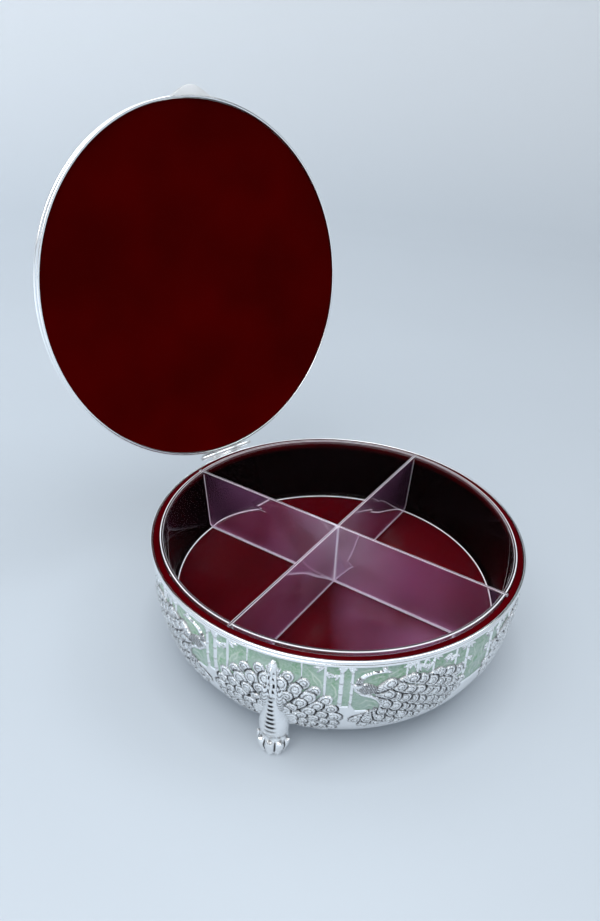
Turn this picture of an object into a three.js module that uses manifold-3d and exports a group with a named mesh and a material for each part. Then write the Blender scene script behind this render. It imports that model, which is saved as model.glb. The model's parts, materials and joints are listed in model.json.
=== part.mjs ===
// A round dried fruit box: a silver-plated bowl on three peacock legs, with a red liner, a lift-out clear
// tray with a cross divider, and a domed lid that stands open on its hinge.
// Millimetres, +Z up. The hinge is at the back (+Y) and the thumb tab at the front. Heights in the outlines
// are measured from the rim plane of the bowl, the plane where bowl and lid meet.
import * as THREE from "three";
import { mergeVertices } from "three/addons/utils/BufferGeometryUtils.js";
import Module from "manifold-3d";

const wasm = await Module();
wasm.setup();

// Driving dimensions
const rimRadius = 130;
const bowlDepth = 84;
const groundClearance = 3.5;
const bowlBaseRadius = 91;
const bowlWallPower = 2.45;
const shellThickness = 2.5;
const lidDomeHeight = 28;
const lidDomePower = 3;
const lidShellThickness = 2.2;
const trayDepth = 52;
const hingeLength = 46;
const legCount = 3;

// Clearances and the fineness of the round pieces
const seatGap = 0.3;
const overrun = 2;
const ringSegments = 50;
const smallSegments = 10;

// Angles
const quarterTurn = Math.PI / 2;
const lidOpenAngle = THREE.MathUtils.degToRad(100.7);
const dividerTurn = THREE.MathUtils.degToRad(15.7);

// Rim bands of the bowl and of the lid: a lip, a groove and a bead
const bowlBandHeight = 6.5;
const bowlBandThickness = 1.7;
const lidBandHeight = 7.2;
const lidBandThickness = 2;
const bandGrooveDepth = 0.8;
const bandBevel = 0.4;
const bandGrooveShares = [0.34, 0.7];

// Enamel belts, filled into shallow recesses of the bowl and of the lid
const bowlBeltMargin = 1.7;
const bowlBeltHeight = 31.5;
const bowlBeltRecess = 1.7;
const bowlEnamelDrop = 0.6;
const lidBeltMargin = 5.3;
const lidBeltWidth = 32;
const lidBeltRecess = 1.4;
const lidEnamelDrop = 0.3;

// Red liner of the bowl
const linerWall = 1.2;
const linerFloorThickness = 1.5;
const linerFlangeWidth = 4;
const linerFlangeThickness = 2;
const linerFlangeDrop = 0.4;
const linerToShell = 3.5;
const linerFillet = 4;

// Clear tray
const trayRimWidth = 2.3;
const trayRimBeadDepth = 3;
const trayRise = 1.4;
const trayWall = 1.6;
const trayFloorThickness = 2.2;
const trayFillet = 2.5;
const trayToLiner = 0.5;
const trayFloorToLiner = 0.8;

// Cross divider: two sheets that are halved into each other, with a tab at each end
const dividerThickness = 1.9;
const dividerEndGap = 0.5;
const dividerTabDepth = 1.5;
const dividerTabReach = 1.8;

// Lid lining and lid seat
const liningRecess = 1.4;
const liningBevel = 0.5;
const liningDish = 8;
const liningThickness = 1.3;
const liningShares = [0, 0.35, 0.65, 0.88];
const lidEdgeThickness = 1.2;
const lidSkirtThickness = 1.5;
const lidOverhang = 0.7;

// Thumb tab
const tabWidth = 37;
const tabReach = 9;
const tabThickness = 3.2;
const tabTurn = THREE.MathUtils.degToRad(3.4);

// Hinge
const barrelRadius = 1.8;
const hingeRise = 2;
const leafThickness = 1.2;
const bowlLeafHeight = 4.8;
const bowlLeafDrop = 1.4;
const pinRadius = 0.9;
const pinHeadRadius = 1.6;
const pinHeadLength = 1;
const middleKnuckleShare = 0.44;
const rivetOffsetShare = 0.355;
const heelContact = 2.1;
const heelThickness = 2;
const rivetHeadRadius = 1.3;
const rivetHeadHeight = 0.9;
const rivetShankRadius = 0.8;

// Peacock legs: a lofted body with a small head at the top and a flared, scalloped foot
const legTopDepth = 8;
const legWidth = 19.5;
const legInset = 6.8;
const legReach = 8;
const legLobes = 5;
const legRingPoints = 20;
const legTurnFromHinge = (2 * Math.PI) / legCount;
// Each row: height share, half-width share, centre shift share, half-depth share, lobe share
const legSectionShares = [
  [0, 0.4, 0.12, 0.8, 0.1],
  [0.03, 0.46, 0.12, 0.86, 0.14],
  [0.085, 0.5, 0.12, 0.84, 0.12],
  [0.13, 0.38, 0, 0.66, 0.03],
  [0.19, 0.43, 0, 0.84, 0],
  [0.29, 0.465, 0, 0.95, 0],
  [0.4, 0.42, 0.12, 0.82, 0],
  [0.51, 0.28, 0.34, 0.62, 0],
  [0.61, 0.18, 0.5, 0.48, 0],
  [0.73, 0.125, 0.58, 0.38, 0],
  [0.85, 0.115, 0.64, 0.34, 0],
  [0.92, 0.13, 0.68, 0.38, 0],
  [0.965, 0.15, 0.68, 0.38, 0],
  [1, 0.07, 0.68, 0.18, 0],
];

// Screws that hold the legs, driven from inside the shell along the wall's normal
const screwDepthShares = [0.68, 0.82];
const screwHeadRadius = 2.8;
const screwHeadHeight = 1.8;
const screwShankRadius = 1.4;
const screwLength = 9;
const screwTipLength = 1.5;

// Sizes that follow from the ones above
const rimHeight = bowlDepth + groundClearance;
const bandInnerRadius = rimRadius - bowlBandThickness;
const neckRadius = bandInnerRadius - seatGap;
const shoulderDepth = bowlBandHeight + seatGap;
const wallTopRadius = rimRadius - lidOverhang;
const bowlBeltTop = shoulderDepth + bowlBeltMargin;
const bowlBeltBottom = bowlBeltTop + bowlBeltHeight;
const linerTop = -linerFlangeDrop;
const linerTopRadius = neckRadius - linerFlangeWidth;
const linerFloor = trayRise - trayDepth - seatGap;
const linerToWall = shellThickness + linerToShell + linerWall;
const linerFloorRadius = wallRadius(-linerFloor - linerFillet) - linerToWall;
const trayRimRadius = linerTopRadius - trayToLiner;
const trayWallRadius = trayRimRadius - trayRimWidth;
const trayFloorRadius = linerFloorRadius - trayFloorToLiner;
const trayFloorTop = trayRise - trayDepth + trayFloorThickness;
const lidEdge = seatGap;
const lidBandTop = lidEdge + lidBandHeight;
const lidBeltOuterRadius = wallTopRadius - lidBeltMargin;
const lidBeltInnerRadius = lidBeltOuterRadius - lidBeltWidth;
const liningRadius = rimRadius - lidBandThickness - seatGap;
const liningFace = lidEdge + liningRecess;
const liningTop = liningFace + liningThickness;
const hingeRadius = rimRadius - facetSag(rimRadius) + seatGap + barrelRadius;
const leafInnerRadius = rimRadius + seatGap;
const leafOuterRadius = leafInnerRadius + leafThickness;
const middleKnuckleLength = hingeLength * middleKnuckleShare;
const heelStart = middleKnuckleLength / 2 + seatGap;
const heelReach = hingeRise + bowlLeafDrop + heelContact;
const rivetOffset = hingeLength * rivetOffsetShare;
const heelEnd = rivetOffset - rivetHeadRadius - 2 * seatGap;
const rivetTurn = Math.asin(rivetOffset / leafOuterRadius);
const bowlLeafTop = -bowlLeafDrop;
const bowlRivetHeight = bowlLeafTop - bowlLeafHeight / 2;
const lidLeafLow = hingeRise + barrelRadius + seatGap;
const lidWebTop = lidLeafLow + seatGap / 2;
const lidRivetHeight = lidWebTop + seatGap + rivetHeadRadius;
const lidLeafTop = lidRivetHeight + rivetHeadRadius + seatGap / 2;
const legHeight = rimHeight - legTopDepth;
const legRadius = wallTopRadius - legInset;
const screwDepths = screwDepthShares.map((share) => bowlDepth * share);

// Materials
function material(color, roughness, metalness, extra = {}) {
  return new THREE.MeshStandardMaterial({ color, roughness, metalness, ...extra });
}
const silver = () => material(0xd9dde0, 0.22, 1);
const enamel = () => material(0x8fb89a, 0.3, 0);
const redPlastic = () => material(0x4a0206, 0.12, 0);
const clearPlastic = () => material(0xe8e0ee, 0.05, 0, { transparent: true, opacity: 0.3 });
const steel = () => material(0xb4b6b8, 0.35, 1);

// A solid of revolution about Z. The outline runs anticlockwise, with r to the right and z up, and is
// closed either on the axis or on itself. A flat of the faceted round faces the hinge.
function revolve(outline, segments = ringSegments) {
  const points = outline.map(([r, z]) => new THREE.Vector2(r, z));
  if (outline[0][0] > 0) points.push(points[0].clone());
  return new THREE.LatheGeometry(points, segments, Math.PI / segments).rotateX(quarterTurn);
}

function block([x0, x1], [y0, y1], [z0, z1]) {
  const geometry = new THREE.BoxGeometry(x1 - x0, y1 - y0, z1 - z0);
  return geometry.translate((x0 + x1) / 2, (y0 + y1) / 2, (z0 + z1) / 2);
}

// A closed skin through rings of equal point counts, from the lowest ring to the highest
function loft(rings) {
  const count = rings[0].length;
  const vertices = rings.flat();
  const faces = [];
  for (let level = 0; level + 1 < rings.length; level++) {
    for (let k = 0; k < count; k++) {
      const a = level * count + k;
      const b = level * count + ((k + 1) % count);
      faces.push(a, b, b + count, a, b + count, a + count);
    }
  }
  const topStart = (rings.length - 1) * count;
  for (let k = 1; k + 1 < count; k++) {
    faces.push(0, k + 1, k);
    faces.push(topStart, topStart + k, topStart + k + 1);
  }
  const geometry = new THREE.BufferGeometry().setFromPoints(vertices);
  geometry.setIndex(faces);
  return geometry;
}

function toSolid(geometry) {
  const bare = geometry.clone();
  bare.deleteAttribute("normal");
  bare.deleteAttribute("uv");
  const merged = mergeVertices(bare);
  return new wasm.Manifold(
    new wasm.Mesh({
      numProp: 3,
      vertProperties: merged.getAttribute("position").array,
      triVerts: new Uint32Array(merged.index.array),
    }),
  );
}

function toGeometry(solid) {
  const mesh = solid.getMesh();
  const geometry = new THREE.BufferGeometry();
  geometry.setAttribute("position", new THREE.BufferAttribute(mesh.vertProperties, 3));
  geometry.setIndex(new THREE.BufferAttribute(mesh.triVerts, 1));
  return geometry;
}

const cut = (solid, ...tools) => tools.reduce((rest, tool) => rest.subtract(toSolid(tool)), solid);
const join = (solid, ...parts) => parts.reduce((whole, part) => whole.add(toSolid(part)), solid);

function piece(name, finish, geometry) {
  const mesh = new THREE.Mesh(geometry, finish());
  mesh.geometry.computeVertexNormals();
  mesh.name = name;
  return mesh;
}

// Radius of the bowl's outer wall at a depth below the rim plane
function wallRadius(depth) {
  const swell = (1 - (depth / bowlDepth) ** bowlWallPower) ** (1 / bowlWallPower);
  return bowlBaseRadius + (wallTopRadius - bowlBaseRadius) * swell;
}

// Outward normal of that wall, as its r and z parts
function wallNormal(depth) {
  const sweep = wallTopRadius - bowlBaseRadius;
  const out = ((wallRadius(depth) - bowlBaseRadius) / sweep) ** (bowlWallPower - 1) / sweep;
  const down = (depth / bowlDepth) ** (bowlWallPower - 1) / bowlDepth;
  return new THREE.Vector2(out, -down).normalize();
}

// Points of the wall from the base up to a depth, evenly spread along its curve and moved along its normal
function wallPoints(toDepth, count, offset = 0) {
  const end = Math.asin((toDepth / bowlDepth) ** (bowlWallPower / 2));
  return Array.from({ length: count + 1 }, (_, i) => {
    const angle = quarterTurn + ((end - quarterTurn) * i) / count;
    const depth = bowlDepth * Math.sin(angle) ** (2 / bowlWallPower);
    const normal = wallNormal(depth);
    return [wallRadius(depth) + normal.x * offset, normal.y * offset - depth];
  });
}

// A run of the wall between two depths, from the lower end to the upper end
function wallRun(fromDepth, toDepth, count, offset) {
  return Array.from({ length: count + 1 }, (_, i) => {
    const depth = fromDepth + ((toDepth - fromDepth) * i) / count;
    return [wallRadius(depth) + offset, -depth];
  });
}

// How far the middle of a flat of the faceted round lies inside the true circle
function facetSag(radius) {
  return radius * (1 - Math.cos(Math.PI / ringSegments));
}

// A screw or rivet along +Z: the head's underside lies at z = 0 and the shank points up
function fastener(headRadius, headHeight, shankRadius, shankLength, tipLength) {
  return revolve(
    [
      [0, -headHeight],
      [headRadius / 2, -headHeight],
      [headRadius, -headHeight / 2],
      [headRadius, 0],
      [shankRadius, 0],
      [shankRadius, shankLength - tipLength],
      [shankRadius / 2, shankLength],
      [0, shankLength],
    ],
    smallSegments,
  );
}

function hole(radius, length) {
  const outline = [
    [0, -length],
    [radius, -length],
    [radius, length],
    [0, length],
  ];
  return revolve(outline, smallSegments);
}

// Band of the rim, with a groove between its lip and its bead
function rimBand(lower, upper, innerRadius, grooveShares) {
  const height = upper - lower;
  const [grooveLow, grooveHigh] = grooveShares.map((share) => lower + height * share);
  const grooveRadius = rimRadius - bandGrooveDepth;
  return revolve([
    [innerRadius, lower],
    [rimRadius - bandBevel, lower],
    [rimRadius, lower + bandBevel],
    [rimRadius, grooveLow],
    [grooveRadius, grooveLow + bandBevel],
    [grooveRadius, grooveHigh - bandBevel],
    [rimRadius, grooveHigh],
    [rimRadius, upper - bandBevel],
    [rimRadius - bandBevel, upper],
    [innerRadius, upper],
  ]);
}

// Place of a rivet: its head outside the leaf, its shank towards the axis of the bowl
function rivetPlace(side, z) {
  const turn = quarterTurn + side * rivetTurn;
  const radius = leafOuterRadius + seatGap;
  const direction = new THREE.Vector3(Math.cos(turn), Math.sin(turn), 0);
  const matrix = new THREE.Matrix4().makeBasis(
    new THREE.Vector3(0, 0, 1),
    new THREE.Vector3().crossVectors(direction.clone().negate(), new THREE.Vector3(0, 0, 1)),
    direction.clone().negate(),
  );
  matrix.setPosition(direction.multiplyScalar(radius).setZ(z));
  return matrix;
}

function rivetHoles(z) {
  const length = leafThickness + lidBandThickness + overrun;
  return [-1, 1].map((side) =>
    hole(rivetShankRadius + seatGap, length).applyMatrix4(rivetPlace(side, z)),
  );
}

function rivet(side, z) {
  const length = leafThickness + bowlBandThickness + seatGap;
  const geometry = fastener(rivetHeadRadius, rivetHeadHeight, rivetShankRadius, length, 0);
  return geometry.applyMatrix4(rivetPlace(side, z));
}

// Bowl shell, with a neck for the rim band, a recess for the enamel and clearance holes for the leg screws
function bowlShell() {
  const neckTop = linerTop - linerFlangeThickness - seatGap;
  const innerNeck = linerTopRadius + linerWall + seatGap;
  const outer = [
    ...wallPoints(bowlBeltBottom, 7),
    ...wallRun(bowlBeltBottom, bowlBeltTop, 3, -bowlBeltRecess),
    [wallRadius(bowlBeltTop), -bowlBeltTop],
    [wallRadius(shoulderDepth), -shoulderDepth],
    [neckRadius, -shoulderDepth],
    [neckRadius, neckTop],
    [innerNeck, neckTop],
    [innerNeck, -shoulderDepth],
  ];
  const inner = wallPoints(bowlBeltTop, 7, -shellThickness).reverse();
  const outline = [[0, -bowlDepth], ...outer, ...inner, [0, shellThickness - bowlDepth]];
  const holes = legPlaces().flatMap((leg) =>
    screwDepths.map((depth) =>
      hole(screwShankRadius + seatGap, screwLength).applyMatrix4(screwPlace(leg, depth)),
    ),
  );
  return toGeometry(cut(toSolid(revolve(outline)), ...holes));
}

function bowlEnamel() {
  const low = bowlBeltBottom - seatGap;
  const high = bowlBeltTop + seatGap;
  const outer = wallRun(low, high, 3, -bowlEnamelDrop);
  const inner = wallRun(low, high, 3, seatGap - bowlBeltRecess);
  return revolve([...outer, ...inner.reverse()]);
}

function bowlBand() {
  const shares = bandGrooveShares.map((share) => 1 - share).reverse();
  const ring = toSolid(rimBand(-bowlBandHeight, 0, bandInnerRadius, shares));
  return toGeometry(cut(ring, ...rivetHoles(bowlRivetHeight)));
}

function bowlLiner() {
  const outerTop = linerTopRadius + linerWall;
  const floorRadius = linerFloorRadius;
  const floorUnder = linerFloor - linerFloorThickness;
  const under = linerTop - linerFlangeThickness;
  return revolve([
    [0, floorUnder],
    [floorRadius + linerWall - linerFillet, floorUnder],
    [floorRadius + linerWall, floorUnder + linerFillet],
    [outerTop, under],
    [neckRadius, under],
    [neckRadius, linerTop - bandBevel],
    [neckRadius - bandBevel, linerTop],
    [linerTopRadius, linerTop],
    [floorRadius, linerFloor + linerFillet],
    [floorRadius - linerFillet / 4, linerFloor + linerFillet / 4],
    [floorRadius - linerFillet, linerFloor],
    [0, linerFloor],
  ]);
}

// Height of the underside of the divider's tabs, and of the floor of their notches in the tray's rim
const tabUnderside = trayRise - dividerTabDepth;
const notchFloor = tabUnderside - seatGap;

function clearTray() {
  const under = trayRise - trayDepth;
  const beadLow = trayRise - trayRimBeadDepth;
  const floorInner = trayFloorRadius - trayWall;
  const outline = [
    [0, under],
    [trayFloorRadius - trayFillet, under],
    [trayFloorRadius, under + trayFillet],
    [trayWallRadius + trayWall, beadLow],
    [trayRimRadius, beadLow],
    [trayRimRadius, trayRise - bandBevel],
    [trayRimRadius - bandBevel, trayRise],
    [trayWallRadius + bandBevel, trayRise],
    [trayWallRadius, trayRise - bandBevel],
    [trayWallRadius, beadLow],
    [floorInner, trayFloorTop + trayFillet],
    [floorInner - trayFillet, trayFloorTop],
    [0, trayFloorTop],
  ];
  const reach = trayRimRadius + overrun;
  const half = dividerThickness / 2 + seatGap;
  const inward = trayWallRadius - overrun;
  const slots = [0, 1, 2, 3].map((quarter) =>
    block([inward, reach], [-half, half], [notchFloor, trayRise + overrun]).rotateZ(
      dividerTurn + quarter * quarterTurn,
    ),
  );
  return toGeometry(cut(toSolid(revolve(outline)), ...slots));
}

// One sheet of the cross divider along X, with its half-depth slot open upwards or downwards
function dividerSheet(slotOpensUp) {
  const top = trayRise;
  const bottom = trayFloorTop + seatGap;
  const wallTop = trayWallRadius - dividerEndGap;
  const wallLow = trayFloorRadius - trayWall - dividerEndGap;
  const beadLow = trayRise - trayRimBeadDepth;
  const tabEnd = trayRimRadius + dividerTabReach;
  const half = [
    [wallLow - trayFillet, bottom],
    [wallLow, bottom + trayFillet],
    [wallTop, beadLow],
    [wallTop, tabUnderside],
    [tabEnd, tabUnderside],
    [tabEnd, top],
  ];
  const mirrored = half.map(([x, y]) => [-x, y]).reverse();
  const shape = new THREE.Shape([...half, ...mirrored].map(([x, y]) => new THREE.Vector2(x, y)));
  const sheet = new THREE.ExtrudeGeometry(shape, { depth: dividerThickness, bevelEnabled: false });
  sheet.translate(0, 0, -dividerThickness / 2).rotateX(quarterTurn);
  const slotHalf = dividerThickness / 2 + seatGap;
  const middle = (top + bottom) / 2;
  const slotHeights = slotOpensUp
    ? [middle - seatGap / 2, top + overrun]
    : [bottom - overrun, middle + seatGap / 2];
  const slot = block([-slotHalf, slotHalf], [-slotHalf, slotHalf], slotHeights);
  return toGeometry(cut(toSolid(sheet), slot));
}

// Legs and their screws
function legPlaces() {
  const places = ["leg_back", "leg_front_left", "leg_front_right"];
  return places.map((name, i) => ({ name, turn: quarterTurn + i * legTurnFromHinge }));
}

function screwPlace({ turn }, depth) {
  const normal = wallNormal(depth);
  const head = shellThickness + seatGap + facetSag(wallRadius(depth));
  const radius = wallRadius(depth) - normal.x * head;
  const z = -depth - normal.y * head;
  const along = new THREE.Vector3(normal.x, 0, normal.y);
  const across = new THREE.Vector3(0, 1, 0);
  const matrix = new THREE.Matrix4().makeBasis(
    new THREE.Vector3().crossVectors(across, along),
    across,
    along,
  );
  matrix.setPosition(radius, 0, z);
  return new THREE.Matrix4().makeRotationZ(turn).multiply(matrix);
}

function legBody(turn) {
  const foot = -rimHeight;
  const rings = legSectionShares.map(([height, width, shift, depth, lobe]) =>
    Array.from({ length: legRingPoints }, (_, k) => {
      const angle = (2 * Math.PI * k) / legRingPoints;
      const ruffle = 1 + lobe * Math.cos(legLobes * angle);
      return new THREE.Vector3(
        legRadius + legReach * (shift + depth * ruffle * Math.cos(angle)),
        legWidth * width * ruffle * Math.sin(angle),
        foot + legHeight * height,
      );
    }),
  );
  return loft(rings).rotateZ(turn);
}

function leg(place) {
  const wall = revolve([
    [0, -bowlDepth - seatGap],
    ...wallPoints(bowlBeltTop, 12, seatGap),
    [rimRadius + seatGap, -shoulderDepth],
    [rimRadius + seatGap, 0],
    [0, 0],
  ]);
  const holes = screwDepths.map((depth) =>
    hole(screwShankRadius + seatGap, screwLength + screwTipLength).applyMatrix4(screwPlace(place, depth)),
  );
  return toGeometry(cut(toSolid(legBody(place.turn)), wall, ...holes));
}

function legScrew(place, depth) {
  const screw = fastener(
    screwHeadRadius,
    screwHeadHeight,
    screwShankRadius,
    screwLength,
    screwTipLength,
  );
  return screw.applyMatrix4(screwPlace(place, depth));
}

// Hinge. A leaf is a plate bent to the rim, with knuckles on the hinge axis
function knuckle([from, to], webHeights) {
  const barrel = new THREE.CylinderGeometry(barrelRadius, barrelRadius, to - from, smallSegments);
  barrel.rotateZ(quarterTurn).translate((from + to) / 2, hingeRadius, hingeRise);
  const web = block([from, to], [leafInnerRadius, hingeRadius], webHeights);
  return toSolid(barrel).add(toSolid(web));
}

function leafPlate([low, high]) {
  const ring = revolve([
    [leafInnerRadius, low],
    [leafOuterRadius, low],
    [leafOuterRadius, high],
    [leafInnerRadius, high],
  ]);
  const half = hingeLength / 2;
  const window = block([-half, half], [0, hingeRadius], [low - overrun, high + overrun]);
  return toSolid(ring).intersect(toSolid(window));
}

const middleKnuckle = [-middleKnuckleLength / 2, middleKnuckleLength / 2];
const endKnuckles = [
  [-hingeLength / 2, -heelStart],
  [heelStart, hingeLength / 2],
];

function pinBore() {
  const bore = hole(pinRadius + seatGap, hingeLength);
  return bore.rotateY(quarterTurn).translate(0, hingeRadius, hingeRise);
}

function bowlLeaf() {
  const plate = leafPlate([bowlLeafTop - bowlLeafHeight, bowlLeafTop]);
  const web = [bowlLeafTop - leafThickness, hingeRise - pinRadius - seatGap];
  const whole = plate.add(knuckle(middleKnuckle, web));
  const rim = revolve([
    [0, bowlLeafTop - bowlLeafHeight - overrun],
    [leafInnerRadius, bowlLeafTop - bowlLeafHeight - overrun],
    [leafInnerRadius, barrelRadius * 2],
    [0, barrelRadius * 2],
  ]);
  return toGeometry(cut(whole, rim, pinBore(), ...rivetHoles(bowlRivetHeight)));
}

// The heels of the lid's leaf meet the bowl's leaf when the lid is open, and hold it there
function heel(side) {
  const x = [heelStart * side, heelEnd * side].sort((a, b) => a - b);
  const face = Math.sqrt(leafOuterRadius ** 2 - heelStart ** 2) + seatGap - hingeRadius;
  const opened = block(x, [face, face + heelThickness], [-heelReach, 0]);
  return opened.rotateX(lidOpenAngle).translate(0, hingeRadius, hingeRise);
}

function lidLeaf() {
  const plate = leafPlate([lidLeafLow, lidLeafTop]);
  const web = [hingeRise + pinRadius + seatGap, lidWebTop];
  const whole = endKnuckles.reduce((sum, span) => sum.add(knuckle(span, web)), plate);
  const rim = revolve([
    [0, -barrelRadius * 2],
    [leafInnerRadius, -barrelRadius * 2],
    [leafInnerRadius, lidLeafTop + overrun],
    [0, lidLeafTop + overrun],
  ]);
  const heeled = join(whole, heel(-1), heel(1));
  return toGeometry(cut(heeled, rim, pinBore(), ...rivetHoles(lidRivetHeight)));
}

function hingePin() {
  const half = hingeLength / 2 + seatGap;
  const outline = [
    [0, -half - pinHeadLength],
    [pinHeadRadius, -half - pinHeadLength],
    [pinHeadRadius, -half],
    [pinRadius, -half],
    [pinRadius, half],
    [pinHeadRadius, half],
    [pinHeadRadius, half + pinHeadLength],
    [0, half + pinHeadLength],
  ];
  const pin = revolve(outline, smallSegments);
  return pin.rotateY(quarterTurn).translate(0, hingeRadius, hingeRise);
}

// Lid, drawn in its closed place
function domeHeight(r) {
  const edge = lidBandTop + seatGap + lidEdgeThickness;
  return edge + lidDomeHeight * (1 - (r / wallTopRadius) ** lidDomePower);
}

function domeRun(fromRadius, toRadius, count, offset) {
  return Array.from({ length: count + 1 }, (_, i) => {
    const r = fromRadius + ((toRadius - fromRadius) * i) / count;
    return [r, domeHeight(r) + offset];
  });
}

function lidShell() {
  const skirtInner = liningRadius - lidSkirtThickness;
  const skirtLow = liningTop + seatGap;
  return revolve([
    ...domeRun(0, skirtInner, 5, -lidShellThickness),
    [skirtInner, skirtLow],
    [liningRadius, skirtLow],
    [liningRadius, lidBandTop + seatGap],
    [wallTopRadius, lidBandTop + seatGap],
    ...domeRun(wallTopRadius, lidBeltOuterRadius, 1, 0),
    ...domeRun(lidBeltOuterRadius, lidBeltInnerRadius, 2, -lidBeltRecess),
    ...domeRun(lidBeltInnerRadius, 0, 4, 0),
  ]);
}

function lidEnamel() {
  const inner = lidBeltInnerRadius + seatGap;
  const outer = lidBeltOuterRadius - seatGap;
  return revolve([
    ...domeRun(inner, outer, 2, seatGap - lidBeltRecess),
    ...domeRun(outer, inner, 2, -lidEnamelDrop),
  ]);
}

function lidBand() {
  const inner = rimRadius - lidBandThickness;
  const ring = toSolid(rimBand(lidEdge, lidBandTop, inner, bandGrooveShares));
  return toGeometry(cut(ring, ...rivetHoles(lidRivetHeight)));
}

function lidLining() {
  const face = (r) => liningFace + liningDish * (1 - (r / liningRadius) ** 2);
  const lower = liningShares.map((share) => [liningRadius * share, face(liningRadius * share)]);
  const upper = lower.map(([r, z]) => [r, z + liningThickness]).reverse();
  return revolve([
    ...lower,
    [liningRadius - liningBevel, liningFace],
    [liningRadius, liningFace + liningBevel],
    [liningRadius, liningTop],
    ...upper,
  ]);
}

function thumbTab() {
  const outline = new THREE.Shape();
  outline.absellipse(0, -liningRadius, tabWidth / 2, tabReach, 0, 2 * Math.PI, false);
  const options = { depth: tabThickness, bevelEnabled: false, curveSegments: smallSegments };
  const lug = new THREE.ExtrudeGeometry(outline, options).translate(0, 0, lidEdge).rotateZ(tabTurn);
  const rim = revolve([
    [0, -overrun],
    [leafInnerRadius, -overrun],
    [leafInnerRadius, lidBandTop],
    [0, lidBandTop],
  ]);
  return toGeometry(cut(toSolid(lug), rim));
}

// Assembly. The rim plane is the working plane of every outline, so the groups lift it to its height
const box = new THREE.Group();
const bowl = new THREE.Group();
bowl.position.z = rimHeight;
box.add(bowl);

bowl.add(piece("bowl_shell", silver, bowlShell()));
bowl.add(piece("bowl_enamel_belt", enamel, bowlEnamel()));
bowl.add(piece("bowl_rim_band", silver, bowlBand()));
bowl.add(piece("bowl_liner", redPlastic, bowlLiner()));
for (const place of legPlaces()) {
  bowl.add(piece(place.name, silver, leg(place)));
  screwDepths.forEach((depth, i) => {
    bowl.add(piece(`${place.name}_screw_${i + 1}`, steel, legScrew(place, depth)));
  });
}
bowl.add(piece("hinge_bowl_leaf", silver, bowlLeaf()));
bowl.add(piece("hinge_bowl_rivet_right", silver, rivet(-1, bowlRivetHeight)));
bowl.add(piece("hinge_bowl_rivet_left", silver, rivet(1, bowlRivetHeight)));
bowl.add(piece("hinge_pin", steel, hingePin()));

const tray = new THREE.Group();
bowl.add(tray);
tray.add(piece("tray", clearPlastic, clearTray()));
const dividerLong = piece("divider_sheet_1", clearPlastic, dividerSheet(true));
dividerLong.rotation.z = dividerTurn + quarterTurn;
const dividerCross = piece("divider_sheet_2", clearPlastic, dividerSheet(false));
dividerCross.rotation.z = dividerTurn;
tray.add(dividerLong, dividerCross);

// The lid turns about the hinge axis and rests open
const lid = new THREE.Group();
lid.position.set(0, hingeRadius, hingeRise);
lid.rotation.x = -lidOpenAngle;
bowl.add(lid);
const closedLid = new THREE.Group();
closedLid.position.set(0, -hingeRadius, -hingeRise);
lid.add(closedLid);
closedLid.add(piece("lid_shell", silver, lidShell()));
closedLid.add(piece("lid_enamel_belt", enamel, lidEnamel()));
closedLid.add(piece("lid_rim_band", silver, lidBand()));
closedLid.add(piece("lid_lining", redPlastic, lidLining()));
closedLid.add(piece("lid_thumb_tab", silver, thumbTab()));
closedLid.add(piece("hinge_lid_leaf", silver, lidLeaf()));
closedLid.add(piece("hinge_lid_rivet_right", silver, rivet(-1, lidRivetHeight)));
closedLid.add(piece("hinge_lid_rivet_left", silver, rivet(1, lidRivetHeight)));

// The origin is the middle of the open box's outer bounds, on the table
box.updateMatrixWorld(true);
const bounds = new THREE.Box3().setFromObject(box, true);
box.position.y = -(bounds.min.y + bounds.max.y) / 2;
box.position.z = -bounds.min.z;

export default box;
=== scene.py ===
import json
from math import asin, ceil, cos, degrees, hypot, pi, radians, sin, sqrt

import bmesh
import bpy
import numpy as np
from mathutils import Matrix, Vector


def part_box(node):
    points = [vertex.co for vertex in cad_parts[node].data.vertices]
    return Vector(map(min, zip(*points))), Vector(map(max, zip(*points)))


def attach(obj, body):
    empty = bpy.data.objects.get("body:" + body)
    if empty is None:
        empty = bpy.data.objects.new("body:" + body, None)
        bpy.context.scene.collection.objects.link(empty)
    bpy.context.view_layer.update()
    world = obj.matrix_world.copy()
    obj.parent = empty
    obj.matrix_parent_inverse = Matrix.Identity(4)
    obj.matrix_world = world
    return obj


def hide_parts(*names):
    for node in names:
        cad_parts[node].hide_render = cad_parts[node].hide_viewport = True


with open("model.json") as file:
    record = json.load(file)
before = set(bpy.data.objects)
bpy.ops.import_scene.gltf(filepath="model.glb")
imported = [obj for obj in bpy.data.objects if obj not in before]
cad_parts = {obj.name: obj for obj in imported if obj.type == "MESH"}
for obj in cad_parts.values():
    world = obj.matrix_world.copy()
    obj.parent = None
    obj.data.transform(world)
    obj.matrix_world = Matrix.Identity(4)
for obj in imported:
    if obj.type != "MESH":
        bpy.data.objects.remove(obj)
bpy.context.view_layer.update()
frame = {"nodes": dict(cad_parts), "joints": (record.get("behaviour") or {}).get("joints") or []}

# Lengths below are in millimetres. MM turns them into the frame's metres when a mesh is made.
MM = 0.001

# Places that the frame gives
band_low, band_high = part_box("bowl_rim_band")
AXIS_Y = (band_low[1] + band_high[1]) / 2 / MM
RIM_Z = band_high[2] / MM
RIM_RADIUS = (band_high[1] - band_low[1]) / 2 / MM
BASE_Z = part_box("bowl_shell")[0][2] / MM
HINGE = next(joint for joint in frame["joints"] if joint["name"] == "lid_hinge")
HINGE_PLACE = Vector(HINGE["pos_m"]) / MM
LID_TURN = radians(HINGE["range_deg"][1])

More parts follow.
